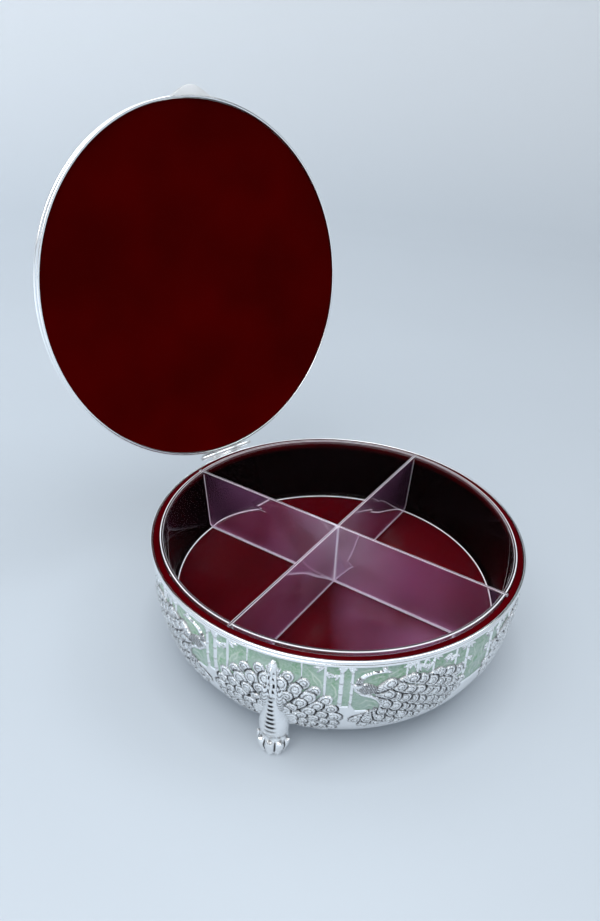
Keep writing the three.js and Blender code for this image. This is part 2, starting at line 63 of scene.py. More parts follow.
# Bowl wall: a superellipse from the rim to the flat base
WALL_DEPTH = RIM_Z - BASE_Z
WALL_TOP = RIM_RADIUS - 0.5
WALL_BASE = 91
WALL_POWER = 2.45
WALL_THICKNESS = 2.5
SECTORS = 3
SECTOR_TURN = 2 * pi / SECTORS
HINGE_SIDE = pi / 2
DIVIDER_TURN = radians(15.7)


# Meshes
def add_object(name, data):
    thing = bpy.data.objects.new(name, data)
    bpy.context.scene.collection.objects.link(thing)
    return thing


def new_mesh(name, points, faces, values=None):
    """A smooth mesh from points in millimetres, with named values per point."""
    mesh = bpy.data.meshes.new(name)
    mesh.from_pydata((np.asarray(points, dtype=float) * MM).tolist(), [], faces)
    for key, numbers in (values or {}).items():
        layer = mesh.attributes.new(key, "FLOAT", "POINT")
        layer.data.foreach_set("value", np.asarray(numbers, dtype=np.float32).ravel())
    mesh.validate()
    mesh.update()
    mesh.polygons.foreach_set("use_smooth", [True] * len(mesh.polygons))
    return mesh


def add_piece(name, form, place, body, finish, node, sharp=32, values=None):
    """A form in millimetres, set in its place. It rides on a body and stands for a CAD node. Finish is one
    material or a list, and edges of more than sharp degrees aren't smoothed."""
    mesh = new_mesh(name, *moved(form, place), values)
    mesh.set_sharp_from_angle(angle=radians(sharp))
    for material in finish if isinstance(finish, list) else [finish]:
        mesh.materials.append(material)
    piece = add_object(name, mesh)
    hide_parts(node)
    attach(piece, body)
    return piece


def quads(rows, columns, closed=False):
    """Faces between rows of points that close into rings. A closed form joins its last row to its first."""
    row, column = np.meshgrid(np.arange(rows if closed else rows - 1), np.arange(columns), indexing="ij")
    near, far, following = row * columns, (row + 1) % rows * columns, (column + 1) % columns
    corners = [near + column, far + column, far + following, near + following]
    return np.stack(corners, axis=-1).reshape(-1, 4)


def lathe(rows, columns, closed=False, turn=0.0):
    """Points and faces of a turned form about Z. The rows run up the inside, over the top and down the
    outside. A row is (radius, height), each a number or one value per column. A closed form joins its
    last row to its first, and an open one starts and ends on the axis."""
    angles = turn + np.arange(columns) * 2 * pi / columns
    radii = np.array([np.broadcast_to(row[0], columns) for row in rows], dtype=float)
    heights = np.array([np.broadcast_to(row[1], columns) for row in rows], dtype=float)
    points = np.stack([radii * np.cos(angles), radii * np.sin(angles), heights], axis=-1).reshape(-1, 3)
    if closed:
        return points, quads(len(rows), columns, closed).tolist()
    points = points[columns - 1 : 1 - columns]
    faces = (quads(len(rows) - 2, columns) + 1).tolist()
    pairs = [(k + 1, (k + 1) % columns + 1) for k in range(columns)]
    last = (len(rows) - 3) * columns
    faces += [[a, b, 0] for a, b in pairs]
    faces += [[last + a, len(points) - 1, last + b] for a, b in pairs]
    return points, faces


def tube(rows, columns):
    """Faces of a form whose rows of points close into rings, with flat ends."""
    sides = quads(rows, columns)[:, [0, 3, 2, 1]].tolist()
    return [*sides, list(range(columns))[::-1], list(range((rows - 1) * columns, rows * columns))]


def round_corners(outline, radius, steps=3, closed=True):
    """An outline with its corners rounded, by less where an edge is short."""
    points = [np.array(point, dtype=float) for point in outline]
    count = len(points)
    result = []
    for i, corner in enumerate(points):
        if not closed and i in (0, count - 1):
            result.append(corner)
            continue
        before, after = points[i - 1] - corner, points[(i + 1) % count] - corner
        lengths = np.linalg.norm(before), np.linalg.norm(after)
        reach = min(radius, 0.45 * lengths[0], 0.45 * lengths[1])
        start, end = corner + before / lengths[0] * reach, corner + after / lengths[1] * reach
        for t in np.linspace(0, 1, steps + 1):
            result.append((1 - t) ** 2 * start + 2 * t * (1 - t) * corner + t**2 * end)
    return result


def with_rows(rows, longest=5.0):
    """The same outline with points added where two are further apart than longest."""
    result = [rows[0]]
    for start, end in zip(rows, rows[1:]):
        count = max(1, ceil(np.linalg.norm(end - start) / longest))
        result.extend(start + (end - start) * k / count for k in range(1, count + 1))
    return result


def joined(*forms):
    """Several (points, faces) as one."""
    points, faces, start = [], [], 0
    for form_points, form_faces in forms:
        points.append(np.asarray(form_points, dtype=float))
        faces.extend([[start + k for k in face] for face in form_faces])
        start += len(form_points)
    return np.concatenate(points), faces


def moved(form, matrix):
    points = np.asarray(form[0], dtype=float)
    return points @ np.array(matrix.to_3x3()).T + np.array(matrix.translation), form[1]


def slab(outline, low, high, bevel):
    """A flat outline in X and Y raised from low to high, with bevelled edges. Its points and faces are put
    in order of place, because the bevel's own order isn't the same each run."""
    built = bmesh.new()
    face = built.faces.new([built.verts.new((x, y, low)) for x, y in outline])
    raised = bmesh.ops.extrude_face_region(built, geom=[face])
    top = [item for item in raised["geom"] if isinstance(item, bmesh.types.BMVert)]
    bmesh.ops.translate(built, verts=top, vec=(0, 0, high - low))
    bmesh.ops.recalc_face_normals(built, faces=built.faces)
    edges = [edge for edge in built.edges if edge.calc_face_angle(0) > radians(25)]
    bmesh.ops.bevel(built, geom=edges, offset=bevel, segments=2, profile=0.6, affect="EDGES")
    built.verts.index_update()
    points = np.array([v.co[:] for v in built.verts])
    faces = [[v.index for v in f.verts] for f in built.faces]
    built.free()
    order = np.lexsort(np.round(points, 3).T)
    rank = np.argsort(order)
    return points[order], sorted((rank[face].tolist() for face in faces), key=sorted)


def turned(angle, axis):
    return Matrix.Rotation(angle, 4, axis)


# The bowl's axis at the rim plane, and the lid's turn from closed to open
TO_RIM = Matrix.Translation((0, AXIS_Y, RIM_Z))
TO_HINGE = Matrix.Translation(HINGE_PLACE)
LID_OPEN = TO_HINGE @ turned(-LID_TURN, "X") @ Matrix.Translation(-HINGE_PLACE) @ TO_RIM


# Materials
def linear(red, green, blue):
    """A colour given as 0 to 255, as linear light."""
    shares = [value / 255 for value in (red, green, blue)]
    return [((c + 0.055) / 1.055) ** 2.4 if c > 0.04045 else c / 12.92 for c in shares] + [1]


class Nodes:
    """A material's node tree, with short calls that return an output."""

    def __init__(self, name):
        self.material = bpy.data.materials.new(name)
        self.material.use_nodes = True
        self.tree = self.material.node_tree
        self.shader = self.tree.nodes["Principled BSDF"]
        self.place = self.add("TexCoord", {}, "Object")

    def feed(self, value, socket):
        """Links an output to a socket, or sets the socket where the value is a number or a colour."""
        if isinstance(value, bpy.types.NodeSocket):
            self.tree.links.new(value, socket)
        else:
            socket.default_value = value

    def add(self, kind, inputs, out=0, **settings):
        node = self.tree.nodes.new(f"ShaderNode{kind}")
        for key, value in settings.items():
            setattr(node, key, value)
        for key, value in inputs.items():
            self.feed(value, node.inputs[key])
        return node.outputs[out]

    def set(self, **values):
        for key, value in values.items():
            self.feed(value, self.shader.inputs[key.replace("_", " ")])

    def noise(self, size, detail=3.0, warp=0.0):
        """Noise whose features are about size millimetres across."""
        inputs = {"Vector": self.place, "Scale": 1 / (size * MM), "Detail": detail, "Distortion": warp}
        return self.add("TexNoise", inputs, "Fac")

    def value(self, name):
        return self.add("Attribute", {}, "Fac", attribute_name=name)

    def up(self):
        return self.add("SeparateXYZ", {0: self.place}, "Z")

    def ray(self, kind):
        return self.add("LightPath", {}, f"Is {kind} Ray")

    def spread(self, fac, low, high, start=0.0, end=1.0):
        """Low where fac is at start, high where it is at end, and even between."""
        names = ("Value", "To Min", "To Max", "From Min", "From Max")
        return self.add("MapRange", dict(zip(names, (fac, low, high, start, end))))

    def blend(self, fac, first, second):
        return self.add("Mix", {"Factor": fac, 6: first, 7: second}, 2, data_type="RGBA")

    def mixed(self, fac, first, second):
        return self.add("MixShader", {0: fac, 1: first, 2: second})

    def combine(self, operation, first, *others):
        for other in others:
            first = self.add("Math", {0: first, 1: other}, operation=operation)
        return first

    def vector(self, operation, other, start=None, out="Value"):
        """The place on the object, or start, combined with other."""
        inputs = {0: start or self.place, 1: other}
        return self.add("VectorMath", inputs, out, operation=operation)

    def bump(self, height, depth, strength=1.0):
        inputs = {"Height": height, "Distance": depth * MM, "Strength": strength}
        self.set(Normal=self.add("Bump", inputs))


SILVER = [0.98, 0.983, 0.985, 1]
CLOUDED_SILVER = [0.92, 0.93, 0.94, 1]
# Near black, for oxidised silver with painted shade in the cast work's hollows
OXIDE_AND_SHADE = [0.012, 0.012, 0.014, 1]


def silver_plate(name, smooth, rough, oxide=False):
    """Bright silver plate with soft clouding. With its cast-work flag, its recesses are dark by a value on
    the mesh, oxidised silver with painted shade, and its surface is uneven by its Carved value."""
    nodes = Nodes(name)
    cloud = nodes.noise(9, 4, 0.6)
    colour = nodes.blend(nodes.spread(cloud, 0, 1, 0.35, 0.7), SILVER, CLOUDED_SILVER)
    roughness = nodes.spread(cloud, smooth, rough, 0.3, 0.7)
    if oxide:
        recess = nodes.value("Oxide")
        colour = nodes.blend(recess, colour, OXIDE_AND_SHADE)
        roughness = nodes.combine("MAXIMUM", roughness, nodes.spread(recess, smooth, 0.6))
        uneven = nodes.spread(nodes.value("Carved"), 0.06, 1)
        nodes.bump(nodes.combine("MULTIPLY", nodes.noise(1.5, 3, 0.8), uneven), 0.8)
    else:
        nodes.bump(nodes.noise(0.7, 2), 0.02)
    nodes.set(Base_Color=colour, Roughness=roughness, Metallic=1)
    return nodes.material


def green_enamel():
    """Marbled pale green, paler where the mesh has a Vein value."""
    nodes = Nodes("green_enamel")
    drift = nodes.spread(nodes.noise(18, 3, 1.6), 0, 1, 0.38, 0.62)
    fine = nodes.spread(nodes.noise(3.2, 4, 2.0), 0, 1, 0.4, 0.68)
    colour = nodes.blend(drift, linear(178, 206, 190), linear(146, 192, 152))
    colour = nodes.blend(fine, colour, linear(198, 218, 204))
    colour = nodes.blend(nodes.value("Vein"), colour, linear(222, 236, 222))
    nodes.set(Base_Color=colour, Roughness=0.24, Coat_Weight=0.25, Coat_Roughness=0.08)
    nodes.bump(nodes.noise(2.4, 2), 0.06, 0.5)
    return nodes.material


def red_plastic(name, dark, light, roughness, specular, deep=None):
    """Glossy dark red, a little uneven as moulded sheet is. Deep is its colour as painted shade, where the
    mesh carries a shade value: the deep parts of the liner, which little light reaches."""
    nodes = Nodes(name)
    drift = nodes.spread(nodes.noise(70, 2), 0, 1, 0.35, 0.65)
    colour = nodes.blend(drift, dark, light)
    if deep:
        colour = nodes.blend(nodes.value("Depth"), colour, deep)
    wave = nodes.noise(60, 1)
    gloss = nodes.spread(wave, roughness, roughness * 1.4, 0.3, 0.7)
    nodes.set(Base_Color=colour, Roughness=gloss, Specular_IOR_Level=specular)
    nodes.bump(wave, 0.05, 0.1)
    return nodes.material


# Haze of the sheets: heights from the rim plane, and how far from the crossing its painted highlight line
# fades
CROSS_MIDDLE = -12
FOOT_HAZE_LOW, FOOT_HAZE_HIGH = -49, -36
FOOT_HIGHLIGHT_LOW, FOOT_HIGHLIGHT_HIGH = -47, -45.6
CROSS_HIGHLIGHT = (1.4, 2.2)
CLEAR_BODY = [0.9, 0.885, 0.91, 1]
PALE_HAZE = [0.86, 0.8, 0.92, 1]
PAINTED_HIGHLIGHT = [0.9, 0.96, 1, 1]


def sheet_haze(nodes, veil, tint):
    """Haze that is stronger where the sheets cross and along their foot than at their ends, with a pale line
    of painted highlight where a sheet meets the other one and the tray's floor."""
    middle = (0, AXIS_Y * MM, (RIM_Z + CROSS_MIDDLE) * MM)
    near = nodes.spread(nodes.vector("DISTANCE", middle), 0.88, 0.2, 0.01, 0.1)
    low = nodes.spread(nodes.up(), 0.85, 0, (RIM_Z + FOOT_HAZE_LOW) * MM, (RIM_Z + FOOT_HAZE_HIGH) * MM)
    strong = nodes.combine("MAXIMUM", near, low)
    flat = nodes.vector("MULTIPLY", (1, 1, 0), out="Vector")
    beside = nodes.vector("DISTANCE", (0, AXIS_Y * MM, 0), flat)
    # Painted highlight: a pale line where the sheets cross, and one along their foot on the tray's floor
    cross = nodes.spread(beside, 0.8, 0, CROSS_HIGHLIGHT[0] * MM, CROSS_HIGHLIGHT[1] * MM)
    foot = nodes.spread(nodes.up(), 0.8, 0, (RIM_Z + FOOT_HIGHLIGHT_LOW) * MM, (RIM_Z + FOOT_HIGHLIGHT_HIGH) * MM)
    line = nodes.combine("MAXIMUM", cross, foot)
    tone = nodes.blend(nodes.spread(strong, 0, 0.75, 0.5, 1), tint, PALE_HAZE)
    veil = nodes.combine("MAXIMUM", nodes.combine("MULTIPLY", veil, strong), line)
    return veil, nodes.blend(line, tone, PAINTED_HIGHLIGHT)


def floor_painted_sheen(nodes, veil, tint):
    """Haze that lies mostly in the front compartment of the tray: a painted violet sheen on its floor."""
    shares = []
    for turn, end in ((pi, 0.02), (radians(-58), 0.014)):
        aim = DIVIDER_TURN + turn
        along = nodes.vector("DOT_PRODUCT", (cos(aim), sin(aim), 0))
        axis = AXIS_Y * MM * sin(aim)
        shares.append(nodes.spread(along, 0, 1, axis - 0.004, axis + end))
    share = nodes.combine("MULTIPLY", *shares)
    return nodes.combine("MULTIPLY", veil, nodes.spread(share, 0.02, 1)), tint


def clear_plastic(name, tint, haze, roughness, through, gloss=0.3, bend=1.45, placed=None):
    """Clear plastic with a faint haze of the colour tint. Lamps shine through it. Placed is the function
    that says where its haze lies."""
    nodes = Nodes(name)
    least = (0.4 if placed else 0.8) * haze
    veil = nodes.spread(nodes.noise(46, 1, 0.4), least, haze, 0.36, 0.64)
    if placed:
        veil, tint = placed(nodes, veil, tint)
    drift = nodes.spread(nodes.noise(26, 3, 0.5), roughness, roughness * 2.2, 0.35, 0.7)
    nodes.set(Base_Color=CLEAR_BODY, Roughness=drift, IOR=bend)
    nodes.set(Specular_IOR_Level=gloss, Transmission_Weight=1)
    mist = nodes.add("BsdfDiffuse", {"Color": tint})
    body = nodes.mixed(veil, nodes.shader.outputs["BSDF"], mist)
    passed = [through * c for c in CLEAR_BODY[:3]] + [1]
    shadow = nodes.add("BsdfTransparent", {"Color": passed})
    surface = nodes.tree.nodes["Material Output"].inputs["Surface"]
    nodes.feed(nodes.mixed(nodes.ray("Shadow"), body, shadow), surface)
    return nodes.material


def steel():
    nodes = Nodes("steel")
    streak = nodes.noise(1.2, 4, 1.0)
    colour = nodes.blend(streak, [0.5, 0.51, 0.52, 1], [0.68, 0.69, 0.7, 1])
    nodes.set(Base_Color=colour, Roughness=nodes.spread(streak, 0.25, 0.45), Metallic=1)
    return nodes.material


RELIEF_SILVER = silver_plate("relief_silver", 0.07, 0.18, oxide=True)
BAND_SILVER = silver_plate("band_silver", 0.12, 0.24)
TAB_SILVER = silver_plate("tab_silver", 0.42, 0.55)
ENAMEL = green_enamel()
LINING_RED = red_plastic("lining_red", linear(64, 0, 0), linear(76, 0, 0), 0.22, 0.008)
# The liner turns near black where its painted shade lies
LINER_RED = red_plastic("liner_red", linear(64, 0, 4), linear(78, 1, 7), 0.08, 0.012, linear(4, 0, 0))
CLEAR = clear_plastic("clear_tray", [0.97, 0.93, 0.97, 1], 0.001, 0.01, 0.9, 0.0, 1.12)
SHEET_TINT, FLOOR_SHEEN_TINT = [0.74, 0.27, 0.62, 1], [0.78, 0.34, 0.7, 1]
CLEAR_SHEET = clear_plastic("clear_sheet", SHEET_TINT, 0.28, 0.03, 0.85, 0.05, placed=sheet_haze)
# The tray's floor carries a painted violet sheen in its front compartment
CLEAR_FLOOR_SHEEN = clear_plastic("clear_floor", FLOOR_SHEEN_TINT, 0.17, 0.02, 0.95, 0.05, 1.12, floor_painted_sheen)
CLEAR_RIM = clear_plastic("clear_rim", [0.9, 0.86, 0.94, 1], 0.06, 0.03, 0.8, 0.1, 1.2)
# Pale sawn edges of the sheets, and painted highlights on the tray's rim and floor corner
CLEAR_EDGE_AND_HIGHLIGHT = clear_plastic("clear_edge", [0.97, 0.96, 1, 1], 1, 0.3, 0.6, 0.5)
STEEL = steel()


# Relief drawing. A half sector lies between the middle of a leg and the middle of the gap between legs.
# Across is in degrees from the leg, down is in millimetres along the wall from the rim plane.
HALF_COLUMNS = 252
COLUMNS = HALF_COLUMNS * 2 * SECTORS
DEGREE_WIDTH = RIM_RADIUS * radians(1)
ACROSS = np.linspace(0, degrees(SECTOR_TURN) / 2, HALF_COLUMNS + 1) * DEGREE_WIDTH
CELL = SECTOR_TURN / 2 * RIM_RADIUS / HALF_COLUMNS
WALL_STEPS = 6000


def wall_curve():
    """Radius, depth and both parts of the outward normal, along the wall by its length."""
    turn = np.linspace(0, pi / 2, WALL_STEPS)
    depth = WALL_DEPTH * np.sin(turn) ** (2 / WALL_POWER)
    radius = WALL_BASE + (WALL_TOP - WALL_BASE) * np.cos(turn) ** (2 / WALL_POWER)
    length = np.concatenate([[0], np.cumsum(np.hypot(np.diff(radius), np.diff(depth)))])
    along = np.gradient(np.stack([radius, -depth]), length, axis=1)
    out = np.stack([-along[1], along[0]])
    return length, radius, depth, out / np.linalg.norm(out, axis=0)


WALL_LENGTH, WALL_RADII, WALL_DEPTHS, WALL_OUT = wall_curve()


def wall_at(length, offset=0.0):
    """Radius and height below the rim plane at a length down the wall, moved out by offset."""
    radius, depth, out_r, out_z = (
        np.interp(length, WALL_LENGTH, curve) for curve in (WALL_RADII, WALL_DEPTHS, *WALL_OUT)
    )
    return radius + out_r * offset, -depth + out_z * offset


def hump(x, width, power=2):
    """1 at 0, falling away to nearly 0 past width."""
    return np.exp(-((x / width) ** power))


def bulge(x):
    """A round profile: 1 at 0, and 0 from 1 on."""
    return np.sqrt(np.clip(1 - x**2, 0, 1))


# An eye feather: its size, place and aim vary, a groove goes round it, and a ring and a moat round its boss
VARIED_AIM, VARIED_WIDTH, VARIED_PLACE = 0.24, 0.13, 0.5
GROOVE_WIDTH, GROOVE_DEPTH = 1.15, 0.5
RING, MOAT, BOSS = 0.84, 0.62, 0.46
BARB_GAP = 1.9
# Along a cane, between its joints
JOINT_GAP = 8.5


class Relief:
    """A height field in millimetres over plane coordinates across and down, also in millimetres."""

    def __init__(self, across, down, ground, cell=CELL):
        self.x, self.y, self.cell = across, down, cell
        self.height = ground
        self.dark = np.zeros_like(ground)
        self.carved = np.zeros_like(ground)

    def local(self, x, y, aim):
        """Coordinates along and across a direction that starts at (x, y)."""
        dx, dy = self.x - x, self.y - y
        return dx * cos(aim) + dy * sin(aim), -dx * sin(aim) + dy * cos(aim)

    def put(self, inside, **fields):
        for name, value in fields.items():
            setattr(self, name, np.where(inside, value, getattr(self, name)))

    def raise_where(self, inside, height):
        self.put(inside, height=height, dark=0)

    def eye_feather(self, x, y, aim, width, length, base, ink=1.0):
        """A peacock tail feather: a beaded ring round a boss at its tip, and slanting barbs behind. Ink is
        how dark its recesses are, oxidised silver with painted shade."""
        chance = sin(12.9 * x + 7.3 * y)
        aim += VARIED_AIM * chance
        width *= 1 + VARIED_WIDTH * sin(5.1 * x - 9.7 * y)
        shift = VARIED_PLACE * sin(3.7 * x + 8.1 * y), VARIED_PLACE * sin(6.3 * x - 4.4 * y)
        along, side = self.local(x + shift[0], y + shift[1], aim)
        along = along * (0.9 + 0.08 * chance)
        behind = np.clip(-along, 0, None) / length
        tip = np.where(along > 0, along / (width * 1.05), behind**1.8)
        taper = 1 - 0.5 * np.minimum(behind, 1) ** 1.4
        reach = np.hypot(tip, side / (width * taper))
        turn = np.arctan2(side, along)
        groove = (reach >= 1) & (reach < 1 + GROOVE_WIDTH / width)
        shade = (0.5 + 0.5 * np.cos(turn * 2 + 9 * chance)) ** 1.5
        deep = np.minimum(self.height, base - GROOVE_DEPTH)
        self.put(groove, height=deep, dark=np.maximum(self.dark, ink * (0.2 + shade)), carved=1)
        ring = np.hypot(along, side * 1.06) / width
        beads = 1 + 0.3 * np.cos(turn * 11)
        lines = 0.34 + 0.16 * np.cos(side * 6.5 + 0.8 * np.abs(along))
        pupil = along - 0.1 * width
        barbs = 0.28 * np.cos(2 * pi * (along + 0.9 * np.abs(side)) / BARB_GAP) - 0.24 * hump(side, 0.5)
        crown = 0.5 * (1 - reach**2) + 0.4 * hump(ring - RING, 0.12) * beads
        crown += lines * hump(ring, BOSS, 4) - 0.34 * hump(ring - MOAT, 0.1)
        crown -= 0.34 * hump(pupil, 0.55) * hump(side, 0.34 * width)
        crown += np.where(ring > 1, barbs, 0)
        # Painted shade: a dark crescent on one side of the moat, turned a little at random
        moat = 0.7 * hump(ring - MOAT, 0.09) * np.clip(-1.3 * np.cos(turn + 1.6 * chance) - 0.1, 0, 1)
        slit = 0.8 * hump(pupil, 0.4) * hump(side, 0.3 * width) * (chance > -0.2)
        dark = np.where(ring > 1.05, np.clip(-4.5 * barbs - 0.7, 0, 0.8), ink * np.maximum(moat, slit))
        self.put(reach < 1, height=base + crown, dark=dark, carved=1)

    def ridge(self, points, widths, base, crown):
        """A rounded line through points, with a half width at each."""
        best = np.full_like(self.height, 9.0)
        for (x0, y0), (x1, y1), w0, w1 in zip(points, points[1:], widths, widths[1:]):
            dx, dy = x1 - x0, y1 - y0
            t = np.clip(((self.x - x0) * dx + (self.y - y0) * dy) / (dx**2 + dy**2), 0, 1)
            distance = np.hypot(self.x - x0 - t * dx, self.y - y0 - t * dy)
            best = np.minimum(best, distance / (w0 + (w1 - w0) * t))
        self.raise_where(best < 1, base + crown * bulge(best))

    def spray(self, x, y, aims, length, width, base):
        """Bamboo leaves from one point, each with a pointed tip and a sunk vein."""
        for aim in aims:
            along, side = self.local(x, y, radians(aim))
            half = width * np.sin(pi * np.clip(along / length, 0, 1) ** 0.7) + 1e-6
            inside = (along > 0) & (along < length) & (np.abs(side) < half)
            self.raise_where(inside, base + 0.6 * (bulge(side / half) - 0.35 * hump(side, 0.4)))

    def bamboo(self, x, top, foot, width, base):
        """A bamboo cane with a ring at each joint, and a dark line under it."""
        t = (self.y - top) / JOINT_GAP + 0.35
        below = (t - np.round(t)) * JOINT_GAP
        joint = hump(below, 0.55)
        side = np.abs(self.x - x) / (width * (1 + 0.22 * joint))
        inside = (side < 1) & (self.y > top) & (self.y < foot)
        height = base + 0.5 * bulge(side) + 0.14 * joint
        self.put(inside, height=height, dark=0.7 * hump(below - 0.8, 0.4))

    def scales(self, inside, size, base, crown):
        """Small overlapping scales, dark between them."""
        row = np.floor(self.y / size)
        u = ((self.x + row % 2 * size / 2) / size) % 1 - 0.5
        v = (self.y / size) % 1
        knob = np.clip(1 - (u / 0.42) ** 2 - ((v - 0.45) / 0.5) ** 2, 0, 1)
        dark = np.clip(1.15 - 2.4 * knob, 0, 1)
        self.put(inside, height=base + crown * np.sqrt(knob), dark=dark, carved=1)

    def smoothed(self, field, size):
        """A blur over about size millimetres. The field is mirrored at its edges."""
        reach = max(1, int(round(2 * size / self.cell)))
        kernel = hump(np.arange(-reach, reach + 1) * self.cell, size)
        kernel /= kernel.sum()
        wide = np.pad(field, reach, mode="reflect")
        rows = sum(k * wide[i : i + field.shape[0], :] for i, k in enumerate(kernel))
        return sum(k * rows[:, i : i + field.shape[1]] for i, k in enumerate(kernel))

    def oxide(self, size=0.9, start=0.11, full=0.26):
        """How dark each point is: the recesses that a polish leaves dark, as oxidised silver with painted
        shade, and what was drawn dark.
        """
        hollow = self.smoothed(self.height, size) - self.height
        recess = np.clip((hollow - start) / (full - start), 0, 1)
        tooled = np.clip(1.6 * self.smoothed(self.carved, self.cell * 1.2), 0, 1)
        return np.clip(np.maximum(recess * tooled, self.smoothed(self.dark, self.cell * 0.6)), 0, 1)


def within(value, points):
    """Straight-line interpolation through given (place, value) pairs."""
    return np.interp(value, *zip(*points))


# Heights of the relief from the wall's curve, and places on the wall
RECESS = -1.5
ENAMEL_LEVEL = -0.8
SKIN = -3.6
TALLEST = 1.5
RELIEF_TOP = 3.6
ENAMEL_TOP, ENAMEL_FOOT = 4.6, 45.0
ROW_RISE = 0.16
# The spread tail: each row's distance from the root, degrees between feathers, and degrees to the first
FAN_ROOT = (0.0, 62.0)
FAN_ROWS = [(44.5, 12.3, 0.0), (36.5, 15, 7.5), (28.5, 18.5, 0.0), (21, 24, 12), (13.5, 36, 0)]
FAN_END = 112
# The falling tail: where it starts and ends by its turn in degrees about its root
TAIL_ROOT = (26.0 * DEGREE_WIDTH, 22.0)
TAIL_REACH = [(-10, 16), (-4, 56), (8, 62), (20, 70), (34, 72), (50, 52), (65, 44), (90, 40), (112, 36)]
TAIL_START = [(-10, 10), (30, 8), (48, 12), (60, 22), (80, 26), (112, 27)]
# The rest is drawn in degrees from the leg and millimetres down: the foot of the enamel, then canes and
# stalks as (place, foot, half width), sprays as (place, down, leaves' aims, length) and veins as lines
GREEN_FOOT = [(0, 30), (16, 39), (21.4, 39.5), (22.5, 44), (29, 44), (52, 44), (60, 44)]
CANE_TOP = 4
CANES = [(18.1, 39, 1.15), (20.9, 40, 0.85), (43.2, 30, 0.75), (54.8, 36, 0.85)]
STALKS = [(7.5, 18, 0.42), (13.7, 30, 0.75), (35.3, 24, 0.5), (38.3, 28, 0.62), (50.5, 28, 0.6)]
LEAF_WIDTH = 0.66
SPRAYS = [
    (13.4, 7, (130, 172), 6.5), (14.0, 11, (22, 62), 6.0), (17.4, 12.5, (118, 158), 5.6),
    (19.5, 5.6, (24, 58, 122, 156), 7.2), (36.8, 6.2, (28, 70, 112, 150), 6.8),
    (38.8, 9.5, (40, 78, 20), 7.4), (43.0, 10.5, (126, 152), 7.6), (43.5, 5.6, (30, 62), 6.6),
    (40.8, 5.4, (60, 105), 5.6), (48.9, 8.6, (124, 152), 7.4), (50.4, 11.6, (132, 168, 40), 6.0),
    (54.4, 6.0, (126, 156), 6.4), (55.2, 7.4, (26, 58), 6.8), (54.3, 22, (140, 176), 6.2),
    (55.3, 20, (12, 44), 6.4),
]
VEINS = [
    [(9, 10), (11, 15), (12.6, 19), (13.2, 24)], [(10.4, 13), (10.8, 18), (12, 22)],
    [(15.4, 20), (16.6, 24), (17, 29), (16.4, 33)], [(23, 10), (25, 8.6), (27, 8.8)],
    [(31, 17.5), (30.4, 14), (32, 12.4), (33.6, 10)], [(31.2, 17.5), (33, 15.8), (34.4, 13)],
    [(26.4, 16.6), (28, 14.6), (29.2, 14.8)], [(23.4, 38), (25, 34), (27.4, 35.5), (28.4, 38.5)],
    [(24.6, 42), (26, 38.8), (28.4, 41.6)], [(45.6, 18), (47.4, 16.5), (49.4, 18.5)],
    [(57.4, 14), (58.6, 20), (58, 27)], [(58.8, 30), (57.8, 35), (59, 40)],
]


def on_wall(points):
    return [(u * DEGREE_WIDTH, v) for u, v in points]


def paint_fan(relief):
    """The spread tail behind a leg: rows of eye feathers round a root near the leg's foot."""
    x, y = relief.x - FAN_ROOT[0], relief.y - FAN_ROOT[1]
    under = np.hypot(x * 1.1, y) < FAN_ROWS[0][0]
    relief.raise_where(under & (y < 0), -0.9)
    for row, (radius, step, first) in enumerate(FAN_ROWS):
        for turn in np.arange(first, FAN_END, step):
            reach = radius * (1 - 0.13 * (turn / 80) ** 2)
            for aim in (-pi / 2 - radians(turn), -pi / 2 + radians(turn)):
                place = FAN_ROOT[0] + reach * cos(aim), FAN_ROOT[1] + reach * sin(aim)
                relief.eye_feather(*place, aim, 4.3 - 0.16 * row, 11.5, ROW_RISE * row, 1.2)
    along, angle = np.hypot(x, y), np.arctan2(y, x)
    ribs = 0.3 * np.cos(angle * 26) * np.clip(along / 10, 0, 1)
    relief.raise_where((along < 15) & (y < 14), ROW_RISE * len(FAN_ROWS) + ribs)


def paint_tail(relief):
    """The long tail of a bird beside the leg, falling away from its body."""
    places = []
    for row, radius in enumerate(np.arange(12, 72, 6.6)):
        step = degrees(8.3 / radius)
        for turn in np.arange(-8 + (row % 2) * step / 2, 112, step):
            if within(turn, TAIL_START) <= radius <= within(turn, TAIL_REACH):
                places.append((radius, turn))
    for radius, turn in sorted(places, reverse=True):
        aim = radians(turn)
        place = TAIL_ROOT[0] + radius * cos(aim), TAIL_ROOT[1] + radius * sin(aim)
        bend = aim + radians(16) * sin(radius * 2.1 + turn)
        base = 0.1 + 0.009 * (72 - radius)
        relief.eye_feather(*place, bend, 3.1 + 0.014 * radius, 9.5, base, 1.05 - 0.008 * radius)


